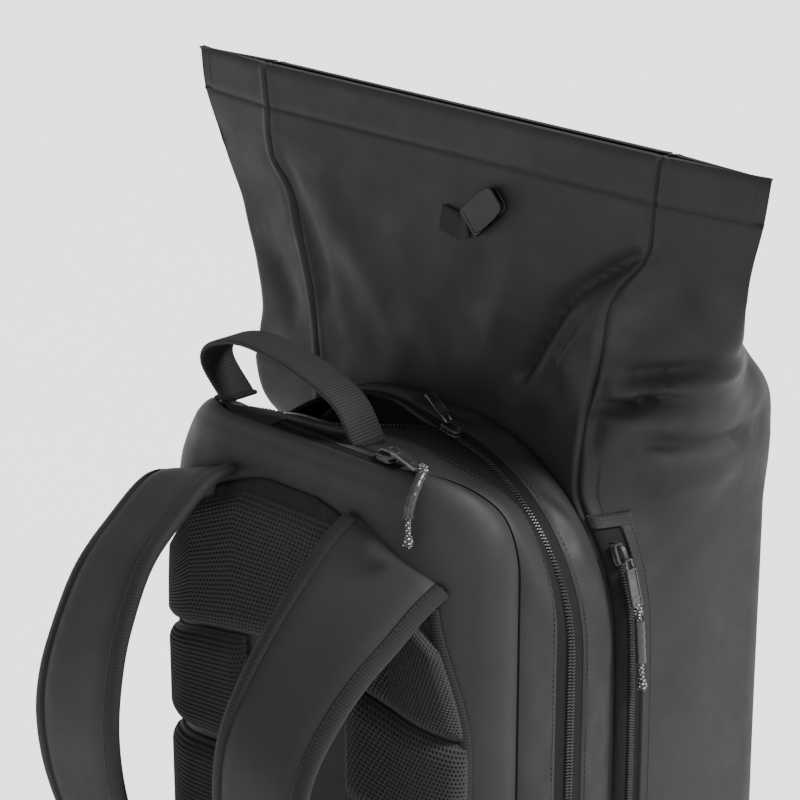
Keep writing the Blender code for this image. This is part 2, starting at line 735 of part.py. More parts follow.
def ladder_frame(side, centre, turn, hinge):
    """Ladder lock: a plastic frame with two slots and a middle bar."""
    width = 34.0
    height = 22.0
    thick = 4.0
    work = bmesh.new()
    xs = (-width / 2, -13.2, 13.2, width / 2)
    zs = (-height / 2, -7.8, -1.8, 1.8, 7.8, height / 2)
    verts = {}
    for i, x in enumerate(xs):
        for k, z in enumerate(zs):
            verts[i, k] = work.verts.new((x, -thick / 2, z))
    for i in range(3):
        for k in range(5):
            if i == 1 and k in (1, 3):
                continue
            work.faces.new((verts[i, k], verts[i + 1, k], verts[i + 1, k + 1], verts[i, k + 1]))
    grown = bmesh.ops.extrude_face_region(work, geom=work.faces[:])
    moved_verts = [g for g in grown["geom"] if isinstance(g, bmesh.types.BMVert)]
    bmesh.ops.translate(work, vec=(0, thick, 0), verts=moved_verts)
    work.verts.index_update()
    points = [turn @ v.co + Vector(centre) for v in work.verts]
    faces = [tuple(v.index for v in f.verts) for f in work.faces]
    work.free()
    add_mesh("ladder_lock_" + side, points, faces, PLASTIC, origin=hinge)


def build_anchor_tabs():
    for side, sign in (("left", -1), ("right", 1)):
        low = [Vector((sign * 132.5, -76.0, 16.0)), Vector((sign * 139.5, -86.0, 24.0))]
        high = [Vector((sign * 132.5, -76.0, 46.0)), Vector((sign * 139.5, -86.0, 40.0))]
        ribbon("strap_anchor_tab_" + side, low, high, 2.6, 2, RIBBED)


# ---------------------------------------------------------------- handle
def build_handle():
    """Webbing loop; its ends are rounded about the swing axis, so that they clear the sewn patches."""
    front = []
    rear = []
    count = 4 * (len(HANDLE_PATH) - 1)
    for i in range(count + 1):
        p = curve_at(HANDLE_PATH, i / count)
        drop = max(HANDLE_PIVOT_Z - p.z, 0.0)
        half = math.sqrt(max(HANDLE_END ** 2 - drop * drop, 4.0)) if drop > 0 else WEBBING / 2
        front.append(p + Vector((0, -half, 0)))
        rear.append(p + Vector((0, half, 0)))
    pivot = (0.0, HANDLE_PATH[0][1], HANDLE_PIVOT_Z)
    ribbon("grab_handle", front, rear, WEB_THICK, count, RIBBED, origin=pivot)
    for label, x in (("left", HANDLE_PATH[0][0]), ("right", HANDLE_PATH[-1][0])):
        block("handle_patch_" + label, (20.0, 20.0, 2.6), (x, HANDLE_PATH[0][1], 476.0), RIBBED, bevel=0.5)


# ---------------------------------------------------------------- zips, sliders and pulls
def turned(angle):
    return Matrix.Rotation(math.radians(angle), 3, "Y")


def pull_tab(name, hinge, angle, length, width):
    """Flat tab from its hinge; angle 0 points along +X, positive angles tip it down."""
    spin = turned(angle)
    centre = Vector(hinge) + spin @ Vector((length / 2, 0, 0))
    block(name, (length, width, TAB_THICK), centre, GUNMETAL, bevel=0.5, turn=spin, origin=hinge,
          metallic=METAL)
    return Vector(hinge) + spin @ Vector((length + GAP + CORD_RADIUS, 0, 0))


def build_racket_slider():
    half, top, radius = ARCH_ZIP
    centre = (RACKET_SLIDER_X, ZIP_LINE, top + 4.3)
    pivot = (half - radius, ZIP_LINE, top - radius)
    block("racket_zip_slider", SLIDER, centre, GUNMETAL, origin=pivot, metallic=METAL)
    hinge = (RACKET_SLIDER_X - 3.0, ZIP_LINE, centre[2] + SLIDER[2] / 2 + 1.4)
    pull_tab("racket_zip_pull_tab", hinge, -142.0, 20.0, 7.5)


def build_valuables_zip():
    coil = rounded_rect(-24.0, VALUABLES_SLIDER_X + 6, VALUABLES_Y - 1.5, VALUABLES_Y + 1.5, 0.8, steps=2)
    prism("valuables_zip_coil", coil, "Z", ARCH_A[1] + 0.5, ARCH_A[1] + 2.0, PLASTIC)
    centre = (VALUABLES_SLIDER_X, VALUABLES_Y, ARCH_A[1] + 4.9)
    block("valuables_zip_slider", (SLIDER[0], 8.4, SLIDER[2]), centre, GUNMETAL, metallic=0.6, origin=centre)
    hinge = (VALUABLES_SLIDER_X + 5.0, VALUABLES_Y, centre[2] + SLIDER[2] / 2 + 2.4)
    end = pull_tab("valuables_pull_tab", hinge, 16.0, 21.0, 8.0)
    path = [end, end + Vector((3, -8, -5)), end + Vector((5, -16, -17)), end + Vector((6, -18, -34))]
    tube("valuables_cord_puller", path, CORD_RADIUS, 8, RIBBED, steps=9, origin=hinge)


def side_point(z, y, lift):
    """Point on the right side panel at a depth, and the outward direction there."""
    loop = section_loop(z)
    for a, b in zip(loop, loop[1:]):
        if a.x > 0 and b.x > 0 and a.y <= y <= b.y and b.y > a.y:
            ahead = (b - a).normalized()
            outward = Vector((ahead.y, -ahead.x, 0.0))
            return a.lerp(b, (y - a.y) / (b.y - a.y)) + outward * lift
    return Vector((SECTIONS[0][3], y, z))


def side_strip(name, y_low, y_high, z_low, z_high, lift, thick, look, rows=12, cols=3):
    outer = []
    inner = []
    for r in range(rows + 1):
        z = mix(z_low, z_high, r / rows)
        levels = [mix(y_low, y_high, c / cols) for c in range(cols + 1)]
        outer.append([side_point(z, y, lift + thick) for y in levels])
        inner.append([side_point(z, y, lift) for y in levels])
    loft_solid(name, outer, inner, look)


def build_side_pocket():
    side_strip("side_pocket_zip_tape", 6.5, 24.0, 120.0, 426.0, 1.3, 0.8, COATED_DARK)
    side_strip("side_pocket_zip_coil", POCKET_Y - 1.4, POCKET_Y + 1.4, 124.0, 418.0, 3.0, 1.5, PLASTIC, cols=1)
    side_strip("side_pocket_lining", 8.0, 96.0, 90.0, 400.0, -3.6, 1.0, COATED_DARK, rows=8, cols=4)
    centre = side_point(POCKET_SLIDER_Z, POCKET_Y, 7.8)
    half, top, radius = ARCH_D
    pivot = (half - radius, POCKET_Y, top - radius)
    lean_angle = math.degrees(math.asin((POCKET_SLIDER_Z - pivot[2]) / radius))
    block("side_pocket_zip_slider", (SLIDER[2], SLIDER[1], SLIDER[0]), centre, GUNMETAL,
          turn=turned(-lean_angle), origin=pivot, metallic=METAL)
    hinge = tuple(centre + turned(-lean_angle) @ Vector((SLIDER[2] / 2 + 1.6, 0, -6.0)))
    end = pull_tab("side_pocket_pull_tab", hinge, 74.0, 26.0, 8.0)
    path = [end, end + Vector((1.5, 0, -12)), end + Vector((2, 1, -28)), end + Vector((2, 3, -46))]
    tube("side_pocket_cord_puller", path, CORD_RADIUS, 8, RIBBED, steps=9, origin=hinge)


# ---------------------------------------------------------------- roll-top closure
def build_closure():
    block("closure_tab_webbing", (20.0, 1.6, 16.0), (8.0, 2.0, 577.0), RIBBED, bevel=0.3)
    hinge = (21.0, -0.2, 580.0)
    spin = turned(-42.0)
    centre = Vector(hinge) + spin @ Vector((16.5, 0, 0))
    block("closure_buckle_socket", (30.0, 5.5, 19.0), centre, PLASTIC, bevel=1.2, turn=spin, origin=hinge)
    edge_a = [Vector((-10.0, 133.0, 430.0)), Vector((-10.0, 134.5, 400.0)), Vector((-10.0, 134.5, 370.0))]
    edge_b = [p + Vector((20.0, 0, 0)) for p in edge_a]
    ribbon("front_closure_webbing", edge_a, edge_b, 1.6, 4, RIBBED)
    hinge = (0.0, 135.6, 367.0)
    block("closure_buckle_plug", (21.0, 5.0, 30.0), (0.0, 135.6, 350.5), PLASTIC, bevel=1.2, origin=hinge)


def main():
    clear_scene()
    build_base()
    build_harness_panel()
    build_mesh_pads()
    build_gusset()
    build_main_compartment()
    build_roll_top()
    for side in ("left", "right"):
        build_strap(side)
    build_anchor_tabs()
    build_handle()
    build_racket_slider()
    build_valuables_zip()
    build_side_pocket()
    build_closure()


main()
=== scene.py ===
import json
import math

import bmesh
import bpy
import numpy as np
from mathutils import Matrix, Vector, noise


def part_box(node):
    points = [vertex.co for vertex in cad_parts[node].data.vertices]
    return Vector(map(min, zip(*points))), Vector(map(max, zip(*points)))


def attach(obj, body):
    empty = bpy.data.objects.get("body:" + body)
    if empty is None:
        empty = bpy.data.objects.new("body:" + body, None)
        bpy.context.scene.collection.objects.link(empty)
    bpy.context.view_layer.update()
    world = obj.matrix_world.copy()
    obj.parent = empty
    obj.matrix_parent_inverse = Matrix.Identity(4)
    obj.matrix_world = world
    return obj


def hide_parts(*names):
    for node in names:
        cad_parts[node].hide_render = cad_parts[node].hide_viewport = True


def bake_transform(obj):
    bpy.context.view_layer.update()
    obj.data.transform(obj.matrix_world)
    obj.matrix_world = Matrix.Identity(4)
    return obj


# Looks of the roll-top racket backpack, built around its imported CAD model.
# Shapes are worked out in millimetres in the CAD's frame and turned into metres when a mesh is made.
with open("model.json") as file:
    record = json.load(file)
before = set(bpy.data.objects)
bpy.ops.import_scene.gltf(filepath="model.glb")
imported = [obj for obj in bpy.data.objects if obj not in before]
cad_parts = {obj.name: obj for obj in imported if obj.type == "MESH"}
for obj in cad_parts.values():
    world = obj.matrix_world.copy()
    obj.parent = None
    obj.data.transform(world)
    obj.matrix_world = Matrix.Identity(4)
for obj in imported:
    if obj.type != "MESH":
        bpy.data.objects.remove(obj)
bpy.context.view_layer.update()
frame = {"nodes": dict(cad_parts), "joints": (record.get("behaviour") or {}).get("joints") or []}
MM = 0.001

# ---------------------------------------------------------------- dimensions shared with the CAD
FLOOR_TOP = 10.0            # top of the base panel
SEAM_A = -71.0              # harness panel to front gusset strip
SEAM_B = -47.0              # front strip to zip tape
ZIP_LINE = -36.0            # racket zip coil
SEAM_C = -25.0              # zip tape to rear gusset strip
SEAM_D = 0.0                # rear strip to main compartment
FACE_Y = -118.0             # flat face of the harness panel
ARCH_A = (130.0, 474.0, 58.0)
ARCH_ZIP = (137.0, 468.0, 110.0)
ARCH_D = (138.0, 470.0, 120.0)
FACE_INSET = (47.0, 29.0)
FACE_RADIUS = 44.0
PAD = 9.0
MOUTH = (-122.0, 36.0)      # ends of the open stretch of the racket zip
MOUTH_LEAN = 38.0
MOUTH_BACK = 15.0
HEM_Z = 617.0
TOP_Z = 643.0
WEBBING = 25.0
STRAP_THICK = 9.0
BINDING = 9.0
POCKET_Y = 11.0
POCKET_TOP = 426.0
CORD_GAP = 2.9              # from a pull tab to the middle of its cord
CORD_TUCK = 1.7             # length of cord hidden in the tab

# height, back half width, back y, side fold half width, side fold y, front half width, front y
SECTIONS = (
    (10.35, 138.0, 1.0, 141.0, 62.0, 143.0, 128.0),
    (60.0, 139.0, 1.0, 146.0, 64.0, 146.0, 130.0),
    (180.0, 139.0, 1.0, 147.0, 64.0, 147.0, 131.0),
    (300.0, 139.0, 1.0, 147.0, 64.0, 146.0, 131.0),
    (371.0, 136.0, 1.0, 146.0, 64.0, 146.0, 131.0),
    (395.0, 129.0, 1.1, 145.0, 64.0, 146.0, 131.0),
    (410.0, 122.0, 1.2, 144.0, 64.0, 146.0, 131.0),
    (424.0, 113.0, 1.4, 143.0, 64.0, 147.0, 131.0),
    (438.0, 106.0, 1.6, 147.0, 64.0, 148.0, 131.0),
    (458.0, 106.0, 2.0, 151.0, 64.0, 149.0, 130.0),
    (484.0, 109.0, 2.5, 159.0, 62.0, 150.0, 124.0),
    (510.0, 114.0, 3.0, 174.0, 52.0, 148.0, 102.0),
    (540.0, 124.0, 3.5, 193.0, 38.0, 145.0, 74.0),
    (566.0, 134.0, 4.0, 205.0, 26.0, 143.0, 46.0),
    (588.0, 149.0, 4.5, 213.0, 16.0, 146.0, 26.0),
    (617.0, 152.0, 5.0, 222.0, 12.0, 152.0, 19.0),
    (643.0, 155.0, 5.0, 226.0, 12.0, 155.0, 19.0),
)

# the wearer's left end has a fold of its own: height, side fold half width, side fold y
LEFT_FOLD = (
    (376.0, 146.0, 64.0),
    (404.0, 157.0, 28.0),
    (424.0, 170.0, 11.0),
    (446.0, 176.0, 7.0),
    (466.0, 175.0, 7.0),
    (486.0, 172.0, 8.0),
    (510.0, 177.0, 11.0),
    (543.0, 188.0, 14.0),
    (588.0, 208.0, 14.0),
    (617.0, 219.0, 12.0),
    (643.0, 223.0, 12.0),
)

# strap edges from the yoke down to the end of the pad, inner edge first
STRAP_EDGES = {
    "left": (
        ((-44, -119.5, 447), (-43, -141, 444), (-42, -165, 429), (-40, -190, 409), (-38, -208, 378),
         (-37, -217, 350), (-37, -221, 315), (-38, -217, 277), (-39, -206, 236), (-43, -188, 190),
         (-51, -166, 140)),
        ((-112, -109.5, 417), (-111, -134, 425), (-110, -163, 408), (-109, -190, 385), (-108, -211, 350),
         (-107, -221, 325), (-106, -224, 300), (-105, -220, 268), (-103, -209, 232), (-98, -190, 188),
         (-93, -166, 140)),
    ),
    "right": (
        ((44, -119.5, 446), (42, -136, 434), (40, -152, 418), (37, -173, 392), (35, -193, 364),
         (33, -206, 336), (33, -211, 303), (34, -208, 266), (36, -198, 228), (41, -182, 186),
         (49, -162, 138)),
        ((113, -107.5, 414), (111, -126, 404), (110, -144, 392), (108, -168, 376), (106, -190, 354),
         (105, -205, 331), (104, -212, 301), (103, -210, 266), (101, -200, 228), (97, -183, 186),
         (91, -162, 138)),
    ),
}
ANCHOR = (141.0, -88.0, 32.0)
HANDLE_PATH = ((-80, -90, 478.6), (-94, -91, 493), (-87, -92, 506), (-61, -93, 514), (-32, -93, 512),
               (-5, -92, 505), (18, -91, 494), (30, -90, 478.6))
HANDLE_Y = -90.0

# folds of the slumping fabric: route on the shell, half width, height (below zero is a valley)
FOLDS = (
    # harness side, towards the wearer's left: two valleys run down from the vertical seam
    (((150, 6, 590), (124, 4, 574), (94, 4, 550), (71, 3, 516), (54, 2, 488)), 5.0, -7.5),
    (((150, 5, 578), (124, 3, 548), (100, 3, 522), (84, 2, 494)), 11.0, 11.0),
    (((108, 3, 546), (94, 3, 524), (86, 3, 500)), 4.0, -4.5),
    (((130, 4, 532), (116, 3, 508), (108, 3, 480)), 9.0, -4.5),
    (((64, 3, 560), (44, 3, 530), (30, 2, 500)), 14.0, 5.0),
    # gusset side towards the wearer's left: hollow, ridge under it, sharp crease
    (((172, 48, 530), (156, 38, 521), (137, 24, 513), (118, 10, 505)), 8.0, -11.0),
    (((176, 58, 521), (150, 42, 510), (128, 24, 502)), 7.5, 9.0),
    (((152, 90, 502), (151, 66, 497), (141, 36, 498), (127, 22, 492), (112, 6, 489)), 4.4, -9.0),
    (((150, 96, 486), (144, 60, 484), (128, 26, 482), (112, 8, 476)), 9.0, 5.5),
    (((114, 8, 500), (112, 8, 480), (110, 6, 456)), 5.0, -4.0),
    (((150, 104, 462), (146, 70, 462), (126, 26, 467)), 7.0, -6.0),
    (((150, 100, 440), (146, 60, 442), (126, 24, 448)), 10.0, 3.5),
    (((190, 30, 590), (176, 26, 566), (170, 30, 548)), 13.0, 5.0),
    (((147, 90, 420), (146, 50, 400), (140, 20, 372)), 8.0, -2.4),
    # the other end, with long soft folds
    (((-166, 10, 536), (-146, 8, 510), (-122, 4, 484)), 10.0, -4.0),
    (((-172, 40, 500), (-156, 70, 494), (-150, 100, 488)), 7.0, -6.0),
    (((-164, 40, 478), (-152, 76, 474), (-148, 110, 466)), 9.0, 4.0),
    (((-146, 5, 592), (-130, 4, 566), (-112, 3, 536), (-98, 3, 498)), 8.0, -4.0),
    (((-120, 4, 590), (-84, 3, 548), (-40, 3, 510)), 14.0, 4.0),
    # front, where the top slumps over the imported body
    (((-118, 92, 536), (-40, 100, 530), (30, 94, 537), (104, 100, 528)), 11.0, 8.0),
    (((-124, 112, 510), (-50, 116, 504), (20, 115, 512), (112, 112, 504)), 8.0, -8.0),
    (((-100, 62, 562), (-20, 70, 556), (70, 62, 564)), 9.0, -6.0),
    (((-132, 44, 576), (-60, 52, 580), (44, 48, 575), (124, 54, 580)), 9.0, 5.0),
    (((30, 128, 498), (80, 130, 470), (122, 130, 452)), 8.0, -4.5),
    (((-40, 130, 496), (-88, 131, 468), (-126, 130, 448)), 8.0, -4.5),
    (((-20, 131, 470), (10, 131, 420), (60, 131, 380)), 12.0, 3.5),
)


# ---------------------------------------------------------------- numbers and curves
def mix(a, b, t):
    return a + (b - a) * t


def ease(t):
    t = min(max(t, 0.0), 1.0)
    return t * t * (3 - 2 * t)


def bump(value, low, high, edge):
    """1 between low and high, easing to 0 over the edge width at both ends."""
    return ease(min(value - low, high - value) / edge)


def table_at(rows, key):
    if key <= rows[0][0]:
        return rows[0][1:]
    for low, high in zip(rows, rows[1:]):
        if key <= high[0]:
            t = (key - low[0]) / (high[0] - low[0])
            return tuple(mix(a, b, t) for a, b in zip(low[1:], high[1:]))
    return rows[-1][1:]


def smooth_table_at(rows, key):
    """Rows by their first column, joined by a curve whose slopes follow the neighbours."""
    count = len(rows)
    if key <= rows[0][0]:
        return rows[0][1:]
    if key >= rows[-1][0]:
        return rows[-1][1:]
    k = next(i for i in range(count - 1) if key <= rows[i + 1][0])
    low, high = rows[k], rows[k + 1]
    before, after = rows[max(k - 1, 0)], rows[min(k + 2, count - 1)]
    span = high[0] - low[0]
    t = (key - low[0]) / span
    result = []
    for c in range(1, len(low)):
        slope_a = (high[c] - before[c]) / (high[0] - before[0]) * span
        slope_b = (after[c] - low[c]) / (after[0] - low[0]) * span
        result.append((2 * t ** 3 - 3 * t * t + 1) * low[c] + (t ** 3 - 2 * t * t + t) * slope_a
                      + (3 * t * t - 2 * t ** 3) * high[c] + (t ** 3 - t * t) * slope_b)
    return tuple(result)


def curve_at(points, t):
    """Catmull-Rom curve through the points, t from 0 to 1."""
    spans = len(points) - 1
    place = min(max(t, 0.0), 1.0) * spans
    k = min(int(place), spans - 1)
    f = place - k
    p1 = Vector(points[k])
    p2 = Vector(points[k + 1])
    p0 = Vector(points[k - 1]) if k > 0 else p1 * 2 - p2
    p3 = Vector(points[k + 2]) if k + 2 <= spans else p2 * 2 - p1
    return 0.5 * (2 * p1 + (p2 - p0) * f + (2 * p0 - 5 * p1 + 4 * p2 - p3) * f * f
                  + (3 * p1 - p0 - 3 * p2 + p3) * f ** 3)


def spaced(points, step):
    """Points about a step apart along a line."""
    line = np.array([tuple(p) for p in points], float)
    along = np.concatenate([[0.0], np.cumsum(np.linalg.norm(np.diff(line, axis=0), axis=1))])
    count = max(2, int(round(along[-1] / step)) + 1)
    at = np.linspace(0.0, along[-1], count)
    return [Vector(p) for p in np.stack([np.interp(at, along, line[:, k]) for k in range(3)], axis=1)]


def smooth_line(points, step):
    """Catmull-Rom curve through the points, cut into even steps."""
    count = (len(points) - 1) * 12
    return spaced([curve_at(points, i / count) for i in range(count + 1)], step)


def wave(p, size, seed=0.0):
    """Smooth noise with bumps about a size across, from -1 to 1."""
    return noise.noise(Vector((p[0] / size + seed, p[1] / size - seed, p[2] / size + 2 * seed)))


# ---------------------------------------------------------------- meshes
def link(obj):
    bpy.context.scene.collection.objects.link(obj)
    return obj


def closed_piece(name, verts, faces, mats, uvs=None, slots=None, sharp=60.0):
    """Closed piece from millimetre points, its faces outwards and its edges sharp above an angle in degrees.

    uvs are one pair per point, and slots are one material index per face.
    """
    mesh = bpy.data.meshes.new(name)
    mesh.from_pydata([tuple(c * MM for c in v) for v in verts], [], faces)
    for mat in mats if isinstance(mats, (list, tuple)) else [mats]:
        mesh.materials.append(mat)
    if slots:
        mesh.polygons.foreach_set("material_index", slots)
    if uvs:
        layer = mesh.uv_layers.new(name="UVMap")
        corner = np.zeros(len(mesh.loops), np.int32)
        mesh.loops.foreach_get("vertex_index", corner)
        layer.data.foreach_set("uv", np.array(uvs, np.float32)[corner].ravel())
    mesh.update()
    mesh.shade_smooth()
    work = bmesh.new()
    work.from_mesh(mesh)
    bmesh.ops.recalc_face_normals(work, faces=work.faces)
    if work.calc_volume(signed=True) < 0:
        bmesh.ops.reverse_faces(work, faces=work.faces)
    work.to_mesh(mesh)
    work.free()
    mesh.set_sharp_from_angle(angle=math.radians(sharp))
    return link(bpy.data.objects.new(name, mesh))


def quads(rows, cols, wrap=True, base=0):
    """Faces between neighbouring rows of points; wrap joins the last column to the first."""
    faces = []
    for low in range(base, base + (rows - 1) * cols, cols):
        for c in range(cols if wrap else cols - 1):
            d = (c + 1) % cols
            faces.append((low + c, low + d, low + cols + d, low + cols + c))
    return faces


def shell(name, outer, inner, mats, wrap=False, uvs=None, inner_slot=0, sharp=45.0):
    """Closed shell between two grids of the same size; wrap joins the last column to the first."""
    rows = len(outer)
    cols = len(outer[0])
    verts = [p for row in outer for p in row] + [p for row in inner for p in row]
    half = rows * cols
    span = cols if wrap else cols - 1
    faces = []
    slots = []
    for face in quads(rows, cols, wrap):
        faces += [face, tuple(half + i for i in reversed(face))]
        slots += [0, inner_slot]
    top = (rows - 1) * cols
    for c in range(span):
        d = (c + 1) % cols
        faces.append((d, c, half + c, half + d))
        faces.append((top + c, top + d, half + top + d, half + top + c))
        slots += [0, 0]
    if not wrap:
        for r in range(rows - 1):
            a = r * cols
            b = (r + 1) * cols
            faces.append((a, b, half + b, half + a))
            faces.append((b + cols - 1, a + cols - 1, half + a + cols - 1, half + b + cols - 1))
            slots += [0, 0]
    flat = [p for row in uvs for p in row] * 2 if uvs else None
    return closed_piece(name, verts, faces, mats, flat, slots, sharp)


def ring_solid(name, rings, mats, uvs=None, sharp=60.0):
    """Closed solid through rings of the same number of points, with flat ends."""
    made = Builder()
    made.rings(rings)
    return made.piece(name, mats, sharp, [p for row in uvs for p in row] if uvs else None)


def side_frames(line):
    """At each point of a line: its tangent and two directions across it that don't twist."""
    frames = []
    side = None
    for i in range(len(line)):
        tangent = (Vector(line[min(i + 1, len(line) - 1)]) - Vector(line[max(i - 1, 0)])).normalized()
        if side is None:
            side = tangent.orthogonal()
        side = (side - tangent * side.dot(tangent)).normalized()
        frames.append((tangent, side.copy(), tangent.cross(side)))
    return frames


def tube(name, line, radius, sides, mats):
    """Round bar along a line; radius is a number or a function of the distance along it."""
    rings = []
    uvs = []
    along = 0.0
    for i, (p, (_, a, b)) in enumerate(zip(line, side_frames(line))):
        if i:
            along += (Vector(p) - Vector(line[i - 1])).length
        r = radius(along) if callable(radius) else radius
        ring = []
        for k in range(sides):
            angle = 2 * math.pi * k / sides
            ring.append(Vector(p) + (a * math.cos(angle) + b * math.sin(angle)) * r)
        rings.append(ring)
        uvs.append([(along, k / sides) for k in range(sides)])
    return ring_solid(name, rings, mats, uvs)


class Builder:
    """Collects many small solids into one mesh."""

    def __init__(self):
        self.verts = []
        self.faces = []

    def rings(self, rings):
        base = len(self.verts)
        count = len(rings[0])
        self.verts += [p for ring in rings for p in ring]
        last = base + (len(rings) - 1) * count
        self.faces.append(tuple(base + k for k in reversed(range(count))))
        self.faces.append(tuple(last + k for k in range(count)))
        self.faces += quads(len(rings), count, base=base)

    def capsule(self, a, b, radius, up=None, flat=1.0, sides=6):
        """Rounded bar from a to b; flat squeezes it along the up direction."""
        a = Vector(a)
        b = Vector(b)
        axis = (b - a).normalized()
        up = Vector(up) if up else axis.orthogonal()
        up = (up - axis * up.dot(axis)).normalized()
        side = axis.cross(up)
        rings = []
        for share, size in ((0.0, 0.45), (0.14, 0.88), (0.5, 1.0), (0.86, 0.88), (1.0, 0.45)):
            centre = a.lerp(b, share)
            ring = []
            for k in range(sides):
                angle = 2 * math.pi * k / sides
                ring.append(centre + side * math.cos(angle) * radius * size
                            + up * math.sin(angle) * radius * size * flat)
            rings.append(ring)
        self.rings(rings)

    def prism(self, outline, origin, x, y, z, low, high, bevel=0.0):
        """Outline in the plane of x and y, thick along z, its edges eased by a bevel."""
        centre = Vector((sum(p[0] for p in outline), sum(p[1] for p in outline))) / len(outline)
        rings = []
        for level, pull in ((low, bevel), (low + bevel, 0.0), (high - bevel, 0.0), (high, bevel)):
            ring = []
            for p in outline:
                q = Vector(p[:2])
                inward = centre - q
                q = q + inward.normalized() * min(pull, inward.length)
                ring.append(Vector(origin) + x * q.x + y * q.y + z * level)
            rings.append(ring)
        self.rings(rings)

    def piece(self, name, mats, sharp=40.0, uvs=None):
        return closed_piece(name, self.verts, self.faces, mats, uvs, None, sharp)


def rounded_rect(x0, x1, y0, y1, radius, steps=5):
    points = []
    for cx, cy, start in ((x1 - radius, y0 + radius, -90), (x1 - radius, y1 - radius, 0),
                          (x0 + radius, y1 - radius, 90), (x0 + radius, y0 + radius, 180)):
        for i in range(steps + 1):
            angle = math.radians(start + 90 * i / steps)
            points.append((cx + radius * math.cos(angle), cy + radius * math.sin(angle)))
    return points


def finish_piece(obj, body, replaced=()):
    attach(obj, body)
    if replaced:
        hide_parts(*replaced)
    return obj


def stitches(name, lines, body, pitch=3.4, radius=0.34, share=0.66):
    """Rows of thread along lines of (point, outward direction)."""
    made = Builder()
    for line in lines:
        points = spaced([p for p, _ in line], pitch)
        outs = [Vector(n) for _, n in line]
        for i, (a, b) in enumerate(zip(points, points[1:])):
            out = outs[min(int(i / max(len(points) - 1, 1) * len(outs)), len(outs) - 1)]
            gap = (b - a) * (1 - share) / 2
            made.capsule(a + gap + out * 0.1, b - gap + out * 0.1, radius, up=out, flat=0.8)
    return finish_piece(made.piece(name, THREAD), body)


# ---------------------------------------------------------------- materials
class Look:
    """A node material with one Principled shader."""

    def __init__(self, name, colour, roughness, metallic=0.0, specular=0.5, sheen=0.0):
        self.mat = bpy.data.materials.new(name)
        self.mat.use_nodes = True
        self.tree = self.mat.node_tree
        self.shader = self.tree.nodes["Principled BSDF"]
        self.shader.inputs["Base Color"].default_value = (*colour, 1.0)
        self.shader.inputs["Roughness"].default_value = roughness
        self.shader.inputs["Metallic"].default_value = metallic
        self.shader.inputs["Specular IOR Level"].default_value = specular
        self.shader.inputs["Sheen Weight"].default_value = sheen
        self.coords = self.add("ShaderNodeTexCoord")
        self.height = None

    def add(self, kind, **inputs):
        node = self.tree.nodes.new(kind)
        for key, value in inputs.items():
            socket = node.inputs[int(key[1:])] if key[0] == "i" and key[1:].isdigit() else node.inputs[key]
            if isinstance(value, bpy.types.NodeSocket):
                self.tree.links.new(value, socket)
            else:
                socket.default_value = value
        return node

    def math(self, operation, a, b=0.0):
        node = self.add("ShaderNodeMath", i0=a, i1=b)
        node.operation = operation
        return node.outputs[0]

    def noise(self, scale, detail=2.0, rough=0.5):
        node = self.add("ShaderNodeTexNoise", Vector=self.coords.outputs["Object"], Scale=scale,
                        Detail=detail, Roughness=rough)
        return node.outputs["Fac"]

    def remap(self, value, low, high, to_low, to_high):
        node = self.add("ShaderNodeMapRange", i0=value, i1=low, i2=high, i3=to_low, i4=to_high)
        return node.outputs[0]

    def colours(self, value, low, high):
        node = self.add("ShaderNodeMix")
        node.data_type = "RGBA"
        self.tree.links.new(value, node.inputs[0])
        node.inputs[6].default_value = (*low, 1.0)
        node.inputs[7].default_value = (*high, 1.0)
        self.tree.links.new(node.outputs[2], self.shader.inputs["Base Color"])

    def rough(self, value, low, high):
        self.tree.links.new(self.remap(value, 0.3, 0.7, low, high), self.shader.inputs["Roughness"])

    def relief(self, value, strength, distance):
        node = self.add("ShaderNodeBump", Strength=strength, Distance=distance, Height=value)
        if self.height:
            self.tree.links.new(self.height, node.inputs["Normal"])
        self.height = node.outputs[0]
        self.tree.links.new(self.height, self.shader.inputs["Normal"])

    def uv(self):
        node = self.add("ShaderNodeSeparateXYZ", Vector=self.coords.outputs["UV"])
        return node.outputs[0], node.outputs[1]


def scaled(colour, factor):
    return tuple(c * factor for c in colour)


def coated(name, colour, roughness):
    """Coated fabric: fine pebbled grain, soft crumple and slight mottling."""
    look = Look(name, colour, roughness, specular=0.16)
    cloud = look.noise(14.0, 4.0, 0.6)
    look.colours(look.remap(cloud, 0.35, 0.65, 0.0, 1.0), scaled(colour, 0.90), scaled(colour, 1.10))
    look.rough(look.noise(55.0, 5.0, 0.6), roughness - 0.05, roughness + 0.07)
    look.relief(look.noise(42.0, 4.0, 0.55), 0.20, 0.0016)
    look.relief(look.noise(1300.0, 2.0, 0.5), 0.16, 0.00022)
    return look.mat


def woven(name, colour, roughness, pitch_u=0.9, pitch_v=0.9):
    """Plain weave read from the piece's own millimetre coordinates, with painted shade where the weave dips
    and painted highlight where it rises.
    """
    look = Look(name, colour, roughness, specular=0.14)
    u, v = look.uv()
    over = look.math("SINE", look.math("MULTIPLY", u, 2 * math.pi / pitch_u))
    under = look.math("SINE", look.math("MULTIPLY", v, 2 * math.pi / pitch_v))
    weave = look.math("MULTIPLY", over, under)
    # base colour follows the weave height: painted shade in its dips, painted highlight on its raised points
    look.colours(look.remap(weave, -1.0, 1.0, 0.0, 1.0), scaled(colour, 0.7), scaled(colour, 1.35))
    look.relief(weave, 0.5, 0.0002)
    look.relief(look.noise(900.0, 2.0), 0.25, 0.0002)
    return look.mat


